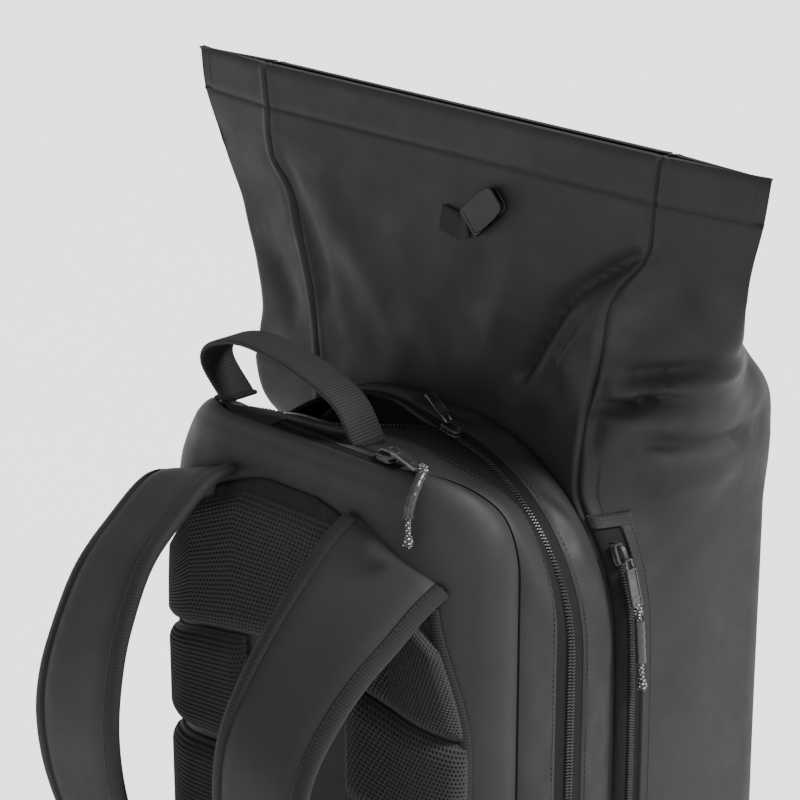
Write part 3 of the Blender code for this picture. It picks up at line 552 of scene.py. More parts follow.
def ribbed(name, colour, roughness, pitch):
    """Ribs across the length, with painted shade between them and painted highlight on them; the ribs
    themselves are in the mesh.
    """
    look = Look(name, colour, roughness, specular=0.22, sheen=0.02)
    u, v = look.uv()
    rib = look.math("COSINE", look.math("MULTIPLY", u, 2 * math.pi / pitch))
    thread = look.math("SINE", look.math("MULTIPLY", v, 2 * math.pi / 0.8))
    # base colour from the rib wave: painted shade in the grooves, painted highlight on the rib crests
    look.colours(look.remap(rib, -1.0, 1.0, 0.0, 1.0), scaled(colour, 0.45), scaled(colour, 1.45))
    look.relief(thread, 0.3, 0.0002)
    look.relief(look.noise(1500.0, 2.0), 0.3, 0.0002)
    return look.mat


MESH_U = 2.4                # hole spacing along a row of the air mesh
MESH_V = 3.0                # spacing of its rows
HOLE_WIDE = 1.15            # how far a hole stays inside its share of a row
HOLE_HIGH = 1.05            # and inside its share of the height


def air_mesh(name):
    """Spacer mesh: ridges between rows of staggered holes, the holes painted near black as painted shade."""
    look = Look(name, (0.02, 0.02, 0.021), 0.8, specular=0.24, sheen=0.04)
    u, v = look.uv()
    row = look.math("DIVIDE", v, MESH_V)
    odd = look.math("MULTIPLY", look.math("MODULO", look.math("FLOOR", row), 2.0), 0.5)
    column = look.math("ADD", look.math("DIVIDE", u, MESH_U), odd)
    across = look.math("SUBTRACT", look.math("FRACT", column), 0.5)
    up = look.math("SUBTRACT", look.math("FRACT", row), 0.5)
    wide = look.math("POWER", look.math("ABSOLUTE", look.math("MULTIPLY", across, HOLE_WIDE)), 2.0)
    high = look.math("POWER", look.math("ABSOLUTE", look.math("MULTIPLY", up, HOLE_HIGH)), 2.0)
    square = look.math("ADD", wide, high)
    solid = look.remap(square, 0.06, 0.17, 0.0, 1.0)
    # holes get painted shade (near black); the ridges keep the mesh's own colour
    look.colours(solid, (0.001, 0.001, 0.001), (0.0145, 0.0145, 0.015))
    look.relief(look.noise(2200.0, 2.0), 0.4, 0.0002)
    return look.mat


def cord_look(name):
    """Braided cord, black with white flecks."""
    look = Look(name, (0.012, 0.012, 0.013), 0.5)
    u, v = look.uv()
    turn = look.math("MULTIPLY", v, 3.0)
    one = look.math("FRACT", look.math("ADD", look.math("DIVIDE", u, 2.6), turn))
    two = look.math("FRACT", look.math("SUBTRACT", look.math("DIVIDE", u, 3.4), turn))
    fleck = look.math("MULTIPLY", look.math("LESS_THAN", one, 0.32), look.math("LESS_THAN", two, 0.32))
    look.colours(fleck, (0.010, 0.010, 0.011), (0.62, 0.62, 0.60))
    strand = look.math("ADD", look.math("DIVIDE", u, 0.9), turn)
    braid = look.math("SINE", look.math("MULTIPLY", strand, 6.283))
    look.relief(braid, 0.5, 0.0002)
    return look.mat


def plain(name, colour, roughness, metallic=0.0, grain=600.0, strength=0.12, specular=0.5):
    """Moulded plastic or cast metal with a fine surface grain and worn patches."""
    look = Look(name, colour, roughness, metallic, specular)
    cloud = look.noise(90.0, 4.0, 0.6)
    look.colours(look.remap(cloud, 0.3, 0.7, 0.0, 1.0), scaled(colour, 0.8), scaled(colour, 1.25))
    look.rough(cloud, roughness - 0.06, roughness + 0.10)
    look.relief(look.noise(grain, 3.0), strength, 0.0002)
    return look.mat


COATED = coated("coated_fabric", (0.0138, 0.0138, 0.0142), 0.58)
LINING = coated("coated_fabric_dark", (0.010, 0.010, 0.0104), 0.55)
TAPE = woven("zip_tape_weave", (0.0045, 0.0045, 0.0047), 0.75)
RIB_PITCH = 1.9
RIBBED = ribbed("ribbed_webbing", (0.0062, 0.0062, 0.0065), 0.72, RIB_PITCH)
AIR_MESH = air_mesh("air_mesh")
BAND = woven("mesh_band", (0.008, 0.008, 0.0083), 0.75, 1.5, 1.5)
PLASTIC = plain("black_plastic", (0.005, 0.005, 0.0053), 0.42, specular=0.22)
COIL = plain("zip_coil_plastic", (0.012, 0.012, 0.0125), 0.32, specular=0.36)
GUNMETAL = plain("gunmetal", (0.085, 0.085, 0.088), 0.28, metallic=0.9, grain=1500.0, strength=0.06)
DARK_METAL = plain("dark_metal", (0.045, 0.045, 0.047), 0.38, metallic=0.7, grain=1500.0, strength=0.08)
SLEEVE = plain("cord_sleeve", (0.014, 0.014, 0.0145), 0.32, grain=260.0, strength=0.5, specular=0.4)
CORD = cord_look("fleck_cord")
THREAD = plain("thread", (0.014, 0.014, 0.0145), 0.6, grain=3000.0, strength=0.3, specular=0.25)
STIFFENER = plain("stiffener_plastic", (0.02, 0.02, 0.021), 0.5)


# ---------------------------------------------------------------- arch of the racket compartment
def arch_points(half, top, radius, bottom, side_steps=70, arc_steps=30, top_steps=46):
    left = [(-half, mix(bottom, top - radius, i / side_steps)) for i in range(side_steps)]
    for i in range(arc_steps):
        angle = math.pi - math.pi / 2 * i / arc_steps
        left.append((-half + radius + radius * math.cos(angle), top - radius + radius * math.sin(angle)))
    across = half - radius
    middle = [(mix(-across, across, i / top_steps), top) for i in range(top_steps + 1)]
    return left + middle + [(-x, z) for x, z in reversed(left)]


def arch_at(y):
    return table_at(((SEAM_A, *ARCH_A), (ZIP_LINE, *ARCH_ZIP), (SEAM_D, *ARCH_D)), y)


def lean(x, z):
    return -MOUTH_LEAN * bump(x, -130, 128, 72) * bump(z, 438, 700, 24)


def mouth_share(x, z):
    return bump(x, MOUTH[0], MOUTH[1], 60) * bump(z, 430, 700, 24)


def front_edge(x, z):
    return -MOUTH_LEAN * mouth_share(x, z)


def front_seam(x, z):
    return (lean(x, z) + front_edge(x, z)) / 2


def rear_edge(x, z):
    return MOUTH_BACK * mouth_share(x, z)


def rear_strip_edge(x, z):
    return 0.8 * MOUTH_BACK * mouth_share(x, z)


def still(x, z):
    return 0.0


def gusset_row(y, shift, lift):
    half, top, radius = arch_at(y)
    rows = arch_points(half, top, radius, FLOOR_TOP + 0.4)
    line = []
    for i, (x, z) in enumerate(rows):
        a = rows[max(i - 1, 0)]
        b = rows[min(i + 1, len(rows) - 1)]
        along = Vector((b[0] - a[0], b[1] - a[1])).normalized()
        outward = Vector((-along.y, 0.0, along.x))
        p = Vector((x, y + shift(x, z), z))
        rise = lift(p) if callable(lift) else lift
        line.append(p + outward * rise)
    return line


def gusset_strip(name, y_low, y_high, shifts, thick, profile, mats, node, crumple=0.0):
    """Strip of the gusset; the profile gives its lift by the share across its width."""
    outer = []
    inner = []
    uvs = []
    shares = [i / 16 for i in range(17)]
    for t in shares:
        y = mix(y_low, y_high, t)

        def shift(x, z, t=t):
            return mix(shifts[0](x, z), shifts[1](x, z), t)

        def lift(p, t=t):
            return profile(t) + crumple * 4 * t * (1 - t) * (wave(p, 26.0, 3.0) + 0.5 * wave(p, 11.0, 7.0))

        outer.append(gusset_row(y, shift, lift))
        inner.append(gusset_row(y, shift, lambda p, t=t: lift(p, t) - thick))
        uvs.append([(i * 4.5, y - y_low) for i in range(len(outer[-1]))])
    obj = shell(name, outer, inner, mats, uvs=uvs)
    return finish_piece(obj, "bag", [node])


def edge_stitches(y, shift, lift):
    """Line for a row of stitches around the arch."""
    row = gusset_row(y, shift, lift)
    base = gusset_row(y, shift, lift - 1.0)
    return [(p, p - q) for p, q in zip(row, base)]


TOOTH_PITCH = 1.95          # along one row of the racket zip
TOOTH_OFFSET = 1.25         # of a row from the middle of the zip


def teeth(name, side, node):
    """One row of zip teeth; side -1 is the harness side's row."""
    shift = front_edge if side < 0 else rear_edge
    y = ZIP_LINE + side * TOOTH_OFFSET
    line = spaced(gusset_row(y, shift, 0.55), TOOTH_PITCH / 2)
    high = spaced(gusset_row(y, shift, 1.55), TOOTH_PITCH / 2)
    ratio = (len(high) - 1) / (len(line) - 1)
    made = Builder()
    for i in range(0 if side < 0 else 1, len(line) - 1, 2):
        p = line[i]
        out = high[min(int(i * ratio), len(high) - 1)] - p
        along = (line[min(i + 1, len(line) - 1)] - line[max(i - 1, 0)]).normalized()
        out = out - along * out.dot(along)
        out = out.normalized() if out.length > 1e-6 else Vector((0, 0, 1))
        reach = out.cross(along).normalized()
        if reach.y * side > 0:
            reach = -reach
        made.capsule(p - reach * 1.55, p + reach * 1.45, 0.62, up=out, flat=1.25)
    return finish_piece(made.piece(name, COIL), "bag", [node])


def build_gusset():
    def front_profile(t):
        return 1.4 - 2.6 * (1 - t) ** 6 - 1.2 * t ** 14

    def rear_profile(t):
        return 1.4 - 1.2 * (1 - t) ** 14 - 2.8 * t ** 6

    def tape_profile(t):
        return -0.1

    gusset_strip("gusset_front_fabric", SEAM_A + 1.2, SEAM_B + 1.0, (lean, front_seam), 1.8, front_profile,
                 COATED, "gusset_front_strip", 1.3)
    gusset_strip("gusset_rear_fabric", SEAM_C - 1.0, SEAM_D - 0.3, (rear_strip_edge, still), 1.8,
                 rear_profile, COATED, "gusset_rear_strip", 3.4)
    gusset_strip("racket_tape_front", SEAM_B - 3.0, ZIP_LINE - 1.0, (front_seam, front_edge), 1.4,
                 tape_profile, TAPE, "racket_zip_tape_front")
    gusset_strip("racket_tape_rear", ZIP_LINE + 1.0, SEAM_C + 3.0, (rear_edge, rear_strip_edge), 1.4,
                 tape_profile, TAPE, "racket_zip_tape_rear")
    teeth("racket_teeth_front", -1, "racket_zip_coil_front")
    teeth("racket_teeth_rear", 1, "racket_zip_coil_rear")
    rows = [edge_stitches(SEAM_B - 1.6, front_seam, 1.35), edge_stitches(SEAM_C + 1.6, rear_strip_edge, 1.35)]
    stitches("gusset_stitches", rows, "bag")


# ---------------------------------------------------------------- padded harness panel
def closed_arch(half, top, radius, bottom, corner):
    ring = arch_points(half, top, radius, bottom + corner, 60, 26, 44)
    foot = []
    for i in range(1, 9):
        angle = math.pi / 2 * i / 8
        foot.append((half - corner + corner * math.cos(angle), bottom + corner - corner * math.sin(angle)))
    across = half - corner
    line = [(mix(across, -across, i / 40), bottom) for i in range(1, 40)]
    return ring + foot + line + [(-x, z) for x, z in reversed(foot)]


def dish_ring(angle, thick, swell):
    """Ring of the harness panel: angle 0 at seam A, 90 degrees at the flat face."""
    turn = math.sin(angle)
    inset = 1 - math.cos(angle)
    keep = thick * math.cos(angle) - swell * math.cos(angle)
    half = ARCH_A[0] - FACE_INSET[0] * inset - keep
    top = ARCH_A[1] - FACE_INSET[1] * inset - keep
    radius = mix(ARCH_A[2], FACE_RADIUS, inset) - 0.6 * keep
    bottom = FLOOR_TOP + 0.4 + 26 * inset + max(keep, 0.0)
    points = []
    for x, z in closed_arch(half, top, radius, bottom, 26 - 6 * inset):
        seam = SEAM_A + lean(x, z)
        points.append(Vector((x, mix(seam, FACE_Y, turn) + (thick - swell) * turn, z)))
    return points


def build_harness_panel():
    rings = []
    inner = []
    steps = 18
    for i in range(steps + 1):
        angle = math.pi / 2 * i / steps
        share = i / steps
        swell = 1.5 * math.sin(math.pi * min(share * 2.2, 1.0)) - 1.6 * max(1 - share * 9, 0.0)
        ring = dish_ring(angle, 0.0, swell)
        rings.append([p + Vector((0, -0.7 * wave(p, 60.0, 5.0) * share, 0)) for p in ring])
        inner.append(dish_ring(angle, PAD, 0.0))
    for share in (0.06, 0.15, 0.3, 0.5, 0.75, 0.97):
        for target, source in ((rings, rings[steps]), (inner, inner[steps])):
            target.append([Vector((mix(p.x, 0.0, share), p.y, mix(p.z, min(max(p.z, 90.0), 400.0), share)))
                           for p in source])
    count = len(rings[0])
    order = rings[::-1] + inner
    verts = [p for ring in order for p in ring]
    faces = [tuple(range(count)), tuple(range(len(verts) - count, len(verts)))] + quads(len(order), count)
    slots = [0, 1] + [0 if r < len(rings) else 1 for r in range(len(order) - 1) for _ in range(count)]
    obj = closed_piece("harness_pad", verts, faces, [COATED, LINING], None, slots)
    finish_piece(obj, "bag", ["harness_panel"])


def half_width_at(z, half, top, radius):
    rise = z - (top - radius)
    if rise <= 0:
        return half
    rise = min(rise, radius)
    return half - radius + math.sqrt(max(radius * radius - rise * rise, 0.0))


def harness_surface(share, z, lift):
    """Point over the harness face; share 0 at the centre, 1 at the edge of the flat, then round."""
    side = -1 if share < 0 else 1
    share = abs(share)
    flat = half_width_at(z, ARCH_A[0] - FACE_INSET[0], ARCH_A[1] - FACE_INSET[1], FACE_RADIUS)
    if share <= 1:
        return Vector((side * flat * share, FACE_Y - lift, z))
    angle = math.pi / 2 - (share - 1)
    inset = 1 - math.cos(angle)
    half = ARCH_A[0] - FACE_INSET[0] * inset
    top = ARCH_A[1] - FACE_INSET[1] * inset
    radius = mix(ARCH_A[2], FACE_RADIUS, inset)
    x = half_width_at(z, half, top, radius)
    y = mix(SEAM_A, FACE_Y, math.sin(angle))
    return Vector((side * (x + lift * math.cos(angle)), y - lift * math.sin(angle), z))


def mesh_relief(u, v):
    """Height of the air mesh above its holes, 0 in a hole and 1 on a ridge."""
    row = math.floor(v / MESH_V)
    across = (u / MESH_U + 0.5 * (row % 2)) % 1.0 - 0.5
    up = (v / MESH_V) % 1.0 - 0.5
    square = (HOLE_WIDE * across) ** 2 + (HOLE_HIGH * up) ** 2
    return ease((square - 0.05) / 0.14)


def pad_edge(z):
    """Share across the back at which the pads end; they draw in under the straps."""
    return 1.88 - 0.40 * ease((z - 318.0) / 95.0)


def mesh_pad(name, node, share_low, share_high, z_low, z_high):
    """Air-mesh pad over foam: crowned, pinched at its edges, with the mesh's own relief."""
    width = 83.0 * (min(abs(share_high), 1.0) + min(abs(share_low), 1.0) * (-1 if share_low > 0 else 1))
    width += 47.0 * (max(abs(share_high) - 1, 0.0) + max(-share_low - 1, 0.0))
    height = z_high(0.5) - z_low(0.5)
    cols = int(width / (MESH_U / 4))
    rows = int(height / (MESH_V / 4))
    top = []
    under = []
    uvs = []
    for r in range(rows + 1):
        over = []
        below = []
        marks = []
        for c in range(cols + 1):
            share = mix(share_low, share_high, c / cols)
            z = mix(z_low(abs(share)), z_high(abs(share)), r / rows)
            beyond = max(abs(share) - 1.0, 0.0) * (pad_edge(z) - 1.0) / 0.88
            share = math.copysign(min(abs(share), 1.0) + beyond, share)
            u = c * MESH_U / 4
            v = r * MESH_V / 4
            side = min(c, cols - c) * MESH_U / 4
            end = min(r, rows - r) * MESH_V / 4
            edge = ease(side / 13.0) * ease(end / 13.0)
            binding = ease((min(side, end) - 1.5) / 2.0)
            crown = 2.6 + 5.4 * math.sqrt(edge)
            relief = mesh_relief(u, v) * binding
            over.append(harness_surface(share, z, crown + relief - 0.6))
            below.append(harness_surface(share, z, 0.5))
            marks.append((u, v))
        top.append(over)
        under.append(below)
        uvs.append(marks)
    obj = shell(name, top, under, AIR_MESH, uvs=uvs, sharp=80.0)
    finish_piece(obj, "bag", [node])


BAND_SHARES = (0.0, 0.12, 0.35, 0.65, 0.88, 1.0)


def edge_band(name, line, width, thick, mats):
    """Flat tape lying along a line of (point, outward, inward along the surface)."""
    outer = []
    inner = []
    uvs = []
    along = 0.0
    for i, (p, out, inward) in enumerate(line):
        if i:
            along += (p - line[i - 1][0]).length
        rib = 0.22 * math.cos(2 * math.pi * along / RIB_PITCH)
        rises = [thick * (0.55 + 0.45 * math.sin(math.pi * s)) + rib for s in BAND_SHARES]
        outer.append([p + inward * width * s + out * rise for s, rise in zip(BAND_SHARES, rises)])
        inner.append([p + inward * width * s + out * 0.02 for s in BAND_SHARES])
        uvs.append([(along, width * s) for s in BAND_SHARES])
    finish_piece(shell(name, outer, inner, mats, uvs=uvs, sharp=70.0), "bag")


def yoke_top(share):
    return 445.0 - 44.0 * max(share - 0.55, 0.0)


def first_split(share):
    return 351.0 - 14.0 * share


def second_split(share):
    return 270.0 - 6.0 * share


def foot(share):
    return 62.0


def build_mesh_pads():
    mesh_pad("mesh_upper", "mesh_pad_upper", -1.86, 1.86, first_split, lambda s: yoke_top(s) - 8.0)
    for label, side in (("left", -1), ("right", 1)):
        low, high = sorted((side * 0.5, side * 1.9))
        mesh_pad("mesh_middle_" + label, "mesh_pad_middle_" + label, low, high,
                 lambda s: second_split(s) + 2.5, lambda s: first_split(s) - 2.5)
        mesh_pad("mesh_lower_" + label, "mesh_pad_lower_" + label, low, high, foot,
                 lambda s: second_split(s) - 2.5)
    line = []
    for i in range(240):
        share = mix(-0.90, 0.90, i / 239)
        z = yoke_top(abs(share)) + 1.0
        p = harness_surface(share, z, 0.6)
        line.append((p, Vector((0, -1, 0)), Vector((0, -0.12, -1)).normalized()))
    edge_band("yoke_band", line, 12.0, 2.2, BAND)
    for label, side in (("left", -1), ("right", 1)):
        line = []
        for i in range(900):
            z = mix(66.0, 404.0, i / 899)
            edge = pad_edge(z) + 0.05
            p = harness_surface(side * edge, z, 0.5)
            q = harness_surface(side * edge, z, 1.5)
            r = harness_surface(side * (edge - 0.12), z, 0.5)
            line.append((p, (q - p).normalized(), (r - p).normalized()))
        edge_band("pad_binding_" + label, line, 7.0, 2.4, RIBBED)


# ---------------------------------------------------------------- main compartment and roll-top
ARC = 10
EDGE = 70
STEP = ARC + EDGE           # loop points per corner


def rounded_loop(corners):
    count = len(corners)
    points = []
    for i, (x, y, cut) in enumerate(corners):
        here = Vector((x, y))
        back = Vector(corners[i - 1][:2])
        ahead = Vector(corners[(i + 1) % count][:2])
        cut_next = corners[(i + 1) % count][2]
        enter = here + (back - here).normalized() * cut
        leave = here + (ahead - here).normalized() * cut
        for k in range(ARC + 1):
            t = k / ARC
            points.append(enter * (1 - t) ** 2 + here * 2 * t * (1 - t) + leave * t * t)
        arrive = ahead + (here - ahead).normalized() * cut_next
        for k in range(1, EDGE):
            points.append(leave.lerp(arrive, k / EDGE))
    return points


def section_loop(z):
    """Outline of the main compartment and roll-top at a height, counter-clockwise from above."""
    back_half, back_y, fold_half, fold_y, front_half, front_y = smooth_table_at(SECTIONS, z)
    narrow = min(1.0, (front_y - back_y) / 128.0)
    back_cut = mix(2.0, 9.0, narrow)
    fold_cut = mix(2.0, 20.0, narrow)
    left_cut = mix(2.0, 12.0, narrow)
    front_cut = mix(2.0, 17.0, narrow)
    left_half, left_y = (fold_half, fold_y) if z < LEFT_FOLD[0][0] else smooth_table_at(LEFT_FOLD, z)
    corners = ((-back_half, back_y, back_cut), (back_half, back_y, back_cut),
               (fold_half, fold_y, fold_cut), (front_half, front_y, front_cut),
               (-front_half, front_y, front_cut), (-left_half, left_y, left_cut))
    return [Vector((p.x, p.y, z)) for p in rounded_loop(corners)]


def loop_normals(loop):
    count = len(loop)
    normals = []
    for i in range(count):
        along = loop[(i + 1) % count] - loop[i - 1]
        normals.append(Vector((along.y, -along.x, 0.0)).normalized())
    return normals


def fold_height(points):
    """Sum of the folds at each point, worked out for the whole grid at once."""
    total = np.zeros(len(points))
    for route, width, height in FOLDS:
        line = np.array([tuple(p) for p in smooth_line(route, 8.0)])
        reach = 3.0 * width
        near = np.all((points > line.min(axis=0) - reach) & (points < line.max(axis=0) + reach), axis=1)
        some = points[near]
        nearest = np.full(len(some), 1e9)
        for a, b in zip(line, line[1:]):
            along = b - a
            share = np.clip((some - a) @ along / (along @ along), 0.0, 1.0)
            nearest = np.minimum(nearest, np.linalg.norm(some - a - share[:, None] * along, axis=1))
        ends = np.minimum(np.linalg.norm(some - line[0], axis=1), np.linalg.norm(some - line[-1], axis=1))
        fade = np.clip(ends / (2.2 * width), 0.25, 1.0)
        total[near] += height * np.exp(-(nearest / width) ** 2) * fade
    return total


SEAM_COLUMNS = tuple(k * STEP + ARC // 2 for k in (0, 1, 3, 4))
SEAM_RIDGE = 0.8            # fabric stands up beside a seam
SEAM_DEPTH = 1.8            # and is pulled in along it


def shell_levels():
    levels = [FLOOR_TOP + 0.35]
    while levels[-1] < 380.0:
        levels.append(levels[-1] + 6.0)
    while levels[-1] < 606.0:
        levels.append(levels[-1] + 2.8)
    levels = [z for z in levels if z < 612.5]
    return levels + [613.0, 615.4, HEM_Z - 0.6, HEM_Z, HEM_Z + 0.6, 618.8, 622.0, 627.0, 632.0, 637.0,
                     640.5, 642.3, TOP_Z]


def shell_grid():
    """Outer points and outward directions of the whole main shell, folds included."""
    levels = shell_levels()
    loops = [section_loop(z) for z in levels]
    normals = [loop_normals(loop) for loop in loops]
    points = np.array([tuple(p) for loop in loops for p in loop])
    folds = fold_height(points).reshape(len(levels), -1)
    size = len(loops[0])
    outer = []
    for r, (z, loop, outs) in enumerate(zip(levels, loops, normals)):
        slump = 0.35 + 0.65 * bump(z, 400.0, 606.0, 60.0)
        hem = 1.0 - ease((z - 596.0) / 14.0)
        hidden = ease((z - 455.0) / 40.0)
        row = []
        seams = [loop[k] for k in SEAM_COLUMNS]
        for c, (p, n) in enumerate(zip(loop, outs)):
            seam = min((p - q).length for q in seams)
            ridge = SEAM_RIDGE * math.exp(-((seam - 3.4) / 2.0) ** 2)
            pinch = ridge - SEAM_DEPTH * math.exp(-(seam / 1.15) ** 2)
            soft = 2.2 * wave(p, 62.0, 1.0) + 1.3 * wave(p, 27.0, 4.0) + 0.2 * wave(p, 12.0, 9.0)
            behind = 1.0 if p.y > 3.0 + 0.02 * z or z > 455.0 else hidden
            away = 1.0 - math.exp(-(seam / 12.0) ** 2)
            rise = (soft * slump * (0.25 + 0.75 * away) + folds[r][c] * hem) * behind * mix(0.25, 1.0, hem)
            groove = -0.9 * math.exp(-((z - HEM_Z) / 1.0) ** 2)
            rim = -1.4 * ease((z - 641.0) / 2.0)
            row.append(p + n * (rise + pinch + groove + rim))
        outer.append(row)
    return levels, outer, normals


def build_main_shell():
    levels, outer, normals = shell_grid()
    inner = []
    for z, row, outs in zip(levels, outer, normals):
        thick = mix(1.8, 3.6, ease((z - HEM_Z + 2.0) / 4.0))
        _, back_y, _, fold_y, _, front_y = smooth_table_at(SECTIONS, z)
        roomy = 40.0 * ease((front_y - back_y - 30.0) / 60.0)
        line = []
        for p, n in zip(row, outs):
            room = max(0.3, 0.75 * abs(p.y - fold_y)) + roomy
            line.append(p - n * min(thick, room))
        inner.append(line)
    obj = shell("main_shell", outer, inner, [COATED, LINING], wrap=True, inner_slot=1, sharp=50.0)
    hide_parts("side_panel_left", "side_panel_right", "front_panel", "divider_panel",
                "roll_top_collar", "roll_top_flap")
    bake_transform(obj)
    hem = next(i for i, z in enumerate(levels) if z >= HEM_Z)
    line = list(zip(outer[hem], normals[hem]))
    stitches("hem_stitches", [line + line[:1]], "roll_top", pitch=3.0, radius=0.3)
    ends = []
    for corner in (2, 5):
        for step in (12, -12):
            column = corner * STEP + ARC // 2 + step
            ends.append([(outer[r][column], normals[r][column]) for r in range(hem, len(levels) - 2)])
    stitches("hem_end_stitches", ends, "roll_top", pitch=3.0, radius=0.3)


def build_base():
    rows = ((0.0, -9.0), (0.0, -4.0), (1.4, -1.4), (4.0, 0.0), (7.5, 0.6), (9.6, 0.2), (10.0, -0.6))
    rings = []
    for z, out in rows:
        outline = rounded_rect(-143.0 - out, 143.0 + out, SEAM_A - 6.0 - out, 128.0 + out, 26.0, steps=12)
        rings.append([Vector((x, y, z)) for x, y in outline])
    obj = ring_solid("base_boot", rings, LINING)
    finish_piece(obj, "bag", ["base_panel"])
    outline = rounded_rect(-144.0, 144.0, SEAM_A - 7.0, 129.0, 27.0, steps=12)
    path = [Vector((x, y, 9.0)) for x, y in outline]
    path = spaced(path + path[:1], 4.0)
    finish_piece(tube("base_piping", path, 1.5, 8, RIBBED), "bag")


# ---------------------------------------------------------------- shoulder straps
def strap_frames(side, count):
    """Edge points and the outward direction at even steps along a strap."""
    inner, outer = STRAP_EDGES[side]
    rows = []
    for i in range(count + 1):
        t = i / count
        a = curve_at(inner, t)
        b = curve_at(outer, t)
        ahead = (curve_at(inner, min(t + 0.01, 1)) + curve_at(outer, min(t + 0.01, 1))) / 2
        behind = (curve_at(inner, max(t - 0.01, 0)) + curve_at(outer, max(t - 0.01, 0))) / 2
        along = (ahead - behind).normalized()
        across = (b - a).normalized()
        out = along.cross(across).normalized()
        if out.y > 0 or (abs(out.y) < 0.2 and out.z < 0):
            out = -out
        rows.append((t, a, b, out, along))
    for i in range(1, len(rows)):
        if rows[i][3].dot(rows[i - 1][3]) < 0:
            t, a, b, out, along = rows[i]
            rows[i] = (t, a, b, -out, along)
    return rows


def swing_strap(obj, replaced=()):
    if replaced:
        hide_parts(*replaced)
    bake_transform(obj)
    return obj


def build_strap(side):
    rows = strap_frames(side, 110)
    rings = []
    uvs = []
    shares = [i / 18 for i in range(19)]
    for t, a, b, out, along in rows:
        width = (b - a).length
        margin = 5.0 / width
        start = ease(t / 0.05)
        ring = []
        marks = []
        for sign in (1, -1):
            for s in (shares if sign > 0 else shares[::-1]):
                share = mix(margin, 1 - margin, s)
                edge = min(s, 1 - s) * width
                puff = 1.8 + (STRAP_THICK / 2 - 1.6) * math.sqrt(ease(edge / 15.0))
                p = a.lerp(b, share)
                puff += 0.35 * wave(p, 34.0, 2.0)
                ring.append(p + out * sign * puff * mix(0.6, 1.0, start))
                marks.append((t * 420.0, s * width))
        rings.append(ring)
        uvs.append(marks)
    pad = ring_solid("strap_pad_" + side, rings, [COATED, AIR_MESH], uvs)
    for poly in pad.data.polygons:
        places = [i % (2 * len(shares)) for i in poly.vertices]
        if len(places) == 4 and min(places) >= len(shares):
            poly.material_index = 1
    swing_strap(pad, ["shoulder_strap_" + side, "strap_root_" + side])
    build_strap_bindings(side)
    build_strap_end(side)


def build_strap_bindings(side):
    """Grosgrain folded over both edges of the strap, ribbed across its length."""
    rows = strap_frames(side, 900)
    lines = []
    for label in ("inner", "outer"):
        rings = []
        uvs = []
        along_mm = 0.0
        last = None
        seam = []
        for t, a, b, out, along in rows:
            if t < 0.012:
                continue
            edge, far = (a, b) if label == "inner" else (b, a)
            inward = (far - edge).normalized()
            if last is not None:
                along_mm += (edge - last).length
            last = edge
            rib = 0.20 * math.cos(2 * math.pi * along_mm / RIB_PITCH)
            profile = ((BINDING + 0.4, 3.3), (BINDING - 0.6, 4.0), (6.0, 4.0), (3.4, 3.5), (1.4, 2.6),
                       (0.3, 1.4), (0.0, 0.0), (0.3, -1.4), (1.4, -2.6), (3.4, -3.5), (6.0, -4.0),
                       (BINDING - 0.6, -4.0), (BINDING + 0.4, -3.3))
            ring = []
            for depth, height in profile:
                grow = rib if abs(height) > 1.0 else 0.0
                ring.append(edge + inward * depth + out * (height + math.copysign(grow, height)))
            rings.append(ring)
            uvs.append([(along_mm, depth + height) for depth, height in profile])
            seam.append((edge + inward * (BINDING - 1.6) + out * 4.2, out))
        name = "binding_%s_%s" % (label, side)
        obj = ring_solid(name, rings, RIBBED, uvs, sharp=75.0)
        swing_strap(obj, ["strap_binding_%s_%s" % (label, side)])
        lines.append(seam[30:])
    stitches("strap_stitches_" + side, lines, "strap_" + side, pitch=3.2, radius=0.3)


def webbing(name, centre_line, across, half, thick, body=None, replaced=()):
    """Flat webbing with ribs: across gives its width direction at each point.

    It rides on a body if one is given.
    """
    rings = []
    uvs = []
    along = 0.0
    frames = side_frames(centre_line)
    for i, (p, wide, (tangent, _, _)) in enumerate(zip(centre_line, across, frames)):
        if i:
            along += (p - centre_line[i - 1]).length
        wide = (wide - tangent * wide.dot(tangent)).normalized()
        out = tangent.cross(wide)
        rib = 0.16 * math.cos(2 * math.pi * along / RIB_PITCH)
        ring = []
        marks = []
        for sign in (1, -1):
            for s in (-1.0, -0.94, -0.6, -0.2, 0.2, 0.6, 0.94, 1.0)[::sign]:
                height = thick / 2 * (1.0 if abs(s) < 0.97 else 0.45) + rib
                ring.append(p + wide * half * s + out * sign * height)
                marks.append((along, s * half))
        rings.append(ring)
        uvs.append(marks)
    obj = ring_solid(name, rings, RIBBED, uvs, sharp=70.0)
    if body:
        finish_piece(obj, body, replaced)
    return obj


